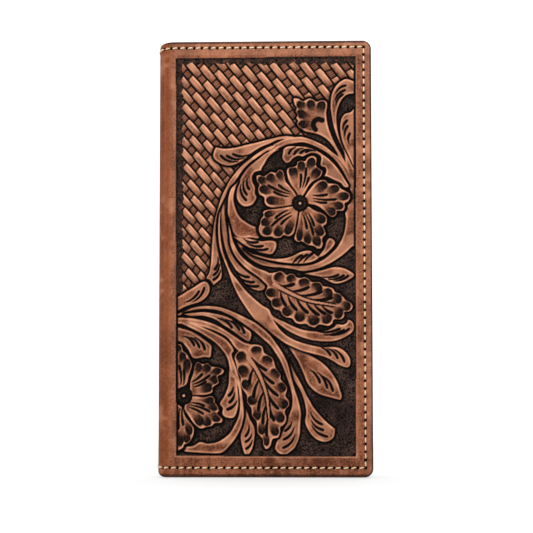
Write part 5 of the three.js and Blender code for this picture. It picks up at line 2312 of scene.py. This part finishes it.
@dataclass(frozen=True)
class Studio:
    """White sweep, soft lights and the camera that took the photograph."""

    eye: tuple[float, float, float] = (25.35, -700.0, 37.45)
    yaw: float = -0.0357
    pitch: float = 0.0772
    roll: float = -0.0006
    lens: float = 107.8
    lamps: tuple[Lamp, ...] = (Lamp("overhead", (0.0, 0.05, 1.1), 1.2, 8.5),
                               Lamp("key", (0.25, -1.1, 0.75), 0.6, 11.0),
                               Lamp("fill", (-0.9, -0.5, 0.35), 0.5, 4.0))
    room: float = 0.2
    far: float = 10.0
    back: float = 2.5
    drop: float = 0.0003
    paper: Colour = (0.3, 0.3, 0.3, 1.0)
    dim: Colour = (0.575, 0.575, 0.575, 1.0)
    white: Colour = (1.0, 1.0, 1.0, 1.0)
    dim_reach: Point = (250.0, 650.0)

    def sweep(self) -> None:
        """White floor, dimmer near the wallet so that its shadow shows, and a white wall far behind."""
        far, back, floor = self.far, self.back, -self.drop
        sheets = {"floor": [(-far, -far, floor), (far, -far, floor), (far, back, floor), (-far, back, floor)],
                  "wall": [(-far, back, floor), (far, back, floor), (far, back, far), (-far, back, far)]}
        near, away = (reach**2 for reach in self.dim_reach)
        for name, corners in sheets.items():
            mesh = bpy.data.meshes.new(name)
            mesh.from_pydata(corners, [], [(0, 1, 2, 3)])
            sh = Shader(f"white_{name}")
            x, y = sh.axis("X"), sh.axis("Y")
            glow = sh.mix((x * x + y * y).step(near, away), self.dim, self.white)
            mesh.materials.append(sh.surface(Base_Color=self.paper, Roughness=0.95, Emission_Color=glow,
                                             Emission_Strength=1.0))
            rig.stage(add_object(name, mesh))

    def camera(self) -> None:
        """Sets the camera where the photograph was taken from."""
        data = bpy.data.cameras.new("photo_camera")
        data.lens = self.lens
        data.sensor_width = 36.0
        data.clip_start = 0.05
        camera = add_object("photo_camera", data)
        turn = Matrix.Rotation(-self.yaw, 4, "Z") @ Matrix.Rotation(math.pi / 2 + self.pitch, 4, "X")
        turn = turn @ Matrix.Rotation(self.roll, 4, "Z")
        camera.matrix_world = Matrix.Translation(Vector(self.eye) * MM) @ turn
        bpy.context.scene.camera = camera
        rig.stage(camera)

    def build(self) -> None:
        """Sets the room's light, the paper, the lamps and the camera."""
        scene = bpy.context.scene
        scene.view_settings.view_transform = "Standard"
        world = bpy.data.worlds.new("white_room")
        world.use_nodes = True
        sky = world.node_tree.nodes["Background"]
        sky.inputs[0].default_value = self.white
        sky.inputs[1].default_value = self.room
        scene.world = world
        self.sweep()
        for lamp in self.lamps:
            lamp.build()
        self.camera()


def write_sizes(path: str) -> None:
    """Writes the box of the CAD pieces and the box of what is shown, in metres.

    Args:
        path: Where the file goes.
    """
    boxes = {"cad": CAD_BOX, "visual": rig.bounds()}
    with open(path, "w", encoding="utf-8") as file:
        json.dump({name: [list(corner) for corner in box] for name, box in boxes.items()}, file)


def main() -> None:
    """Builds and dresses the wallet, piece by piece."""
    logging.basicConfig(level=logging.INFO, format="%(name)s: %(message)s")
    front = Cover(Half.FRONT, "front_leather", ("front_cover",), "front_half", TOOLED, Slot.TOOLED, 0.3)
    back = Cover(Half.BACK, "back_leather", ("back_cover", "spine_panel"), "back_half", PLAIN, Slot.PLAIN,
                 0.8)
    for cover in (front, back):
        LOG.info("%s: %d faces", cover.build().name, len(bpy.data.objects[cover.name].data.polygons))
        LOG.info("%s", cover.stitch().name)
    for side in (CardSide(), CoinSide()):
        for made in side.build():
            LOG.info("%s: %d faces", made.name, len(made.data.polygons))
    LOG.info("%s", SpineInside().build().name)
    Metalwork().dress()
    LOG.info("zip brass and window film dressed")
    Studio().build()
    write_sizes("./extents.json")


if __name__ == "__main__":
    main()
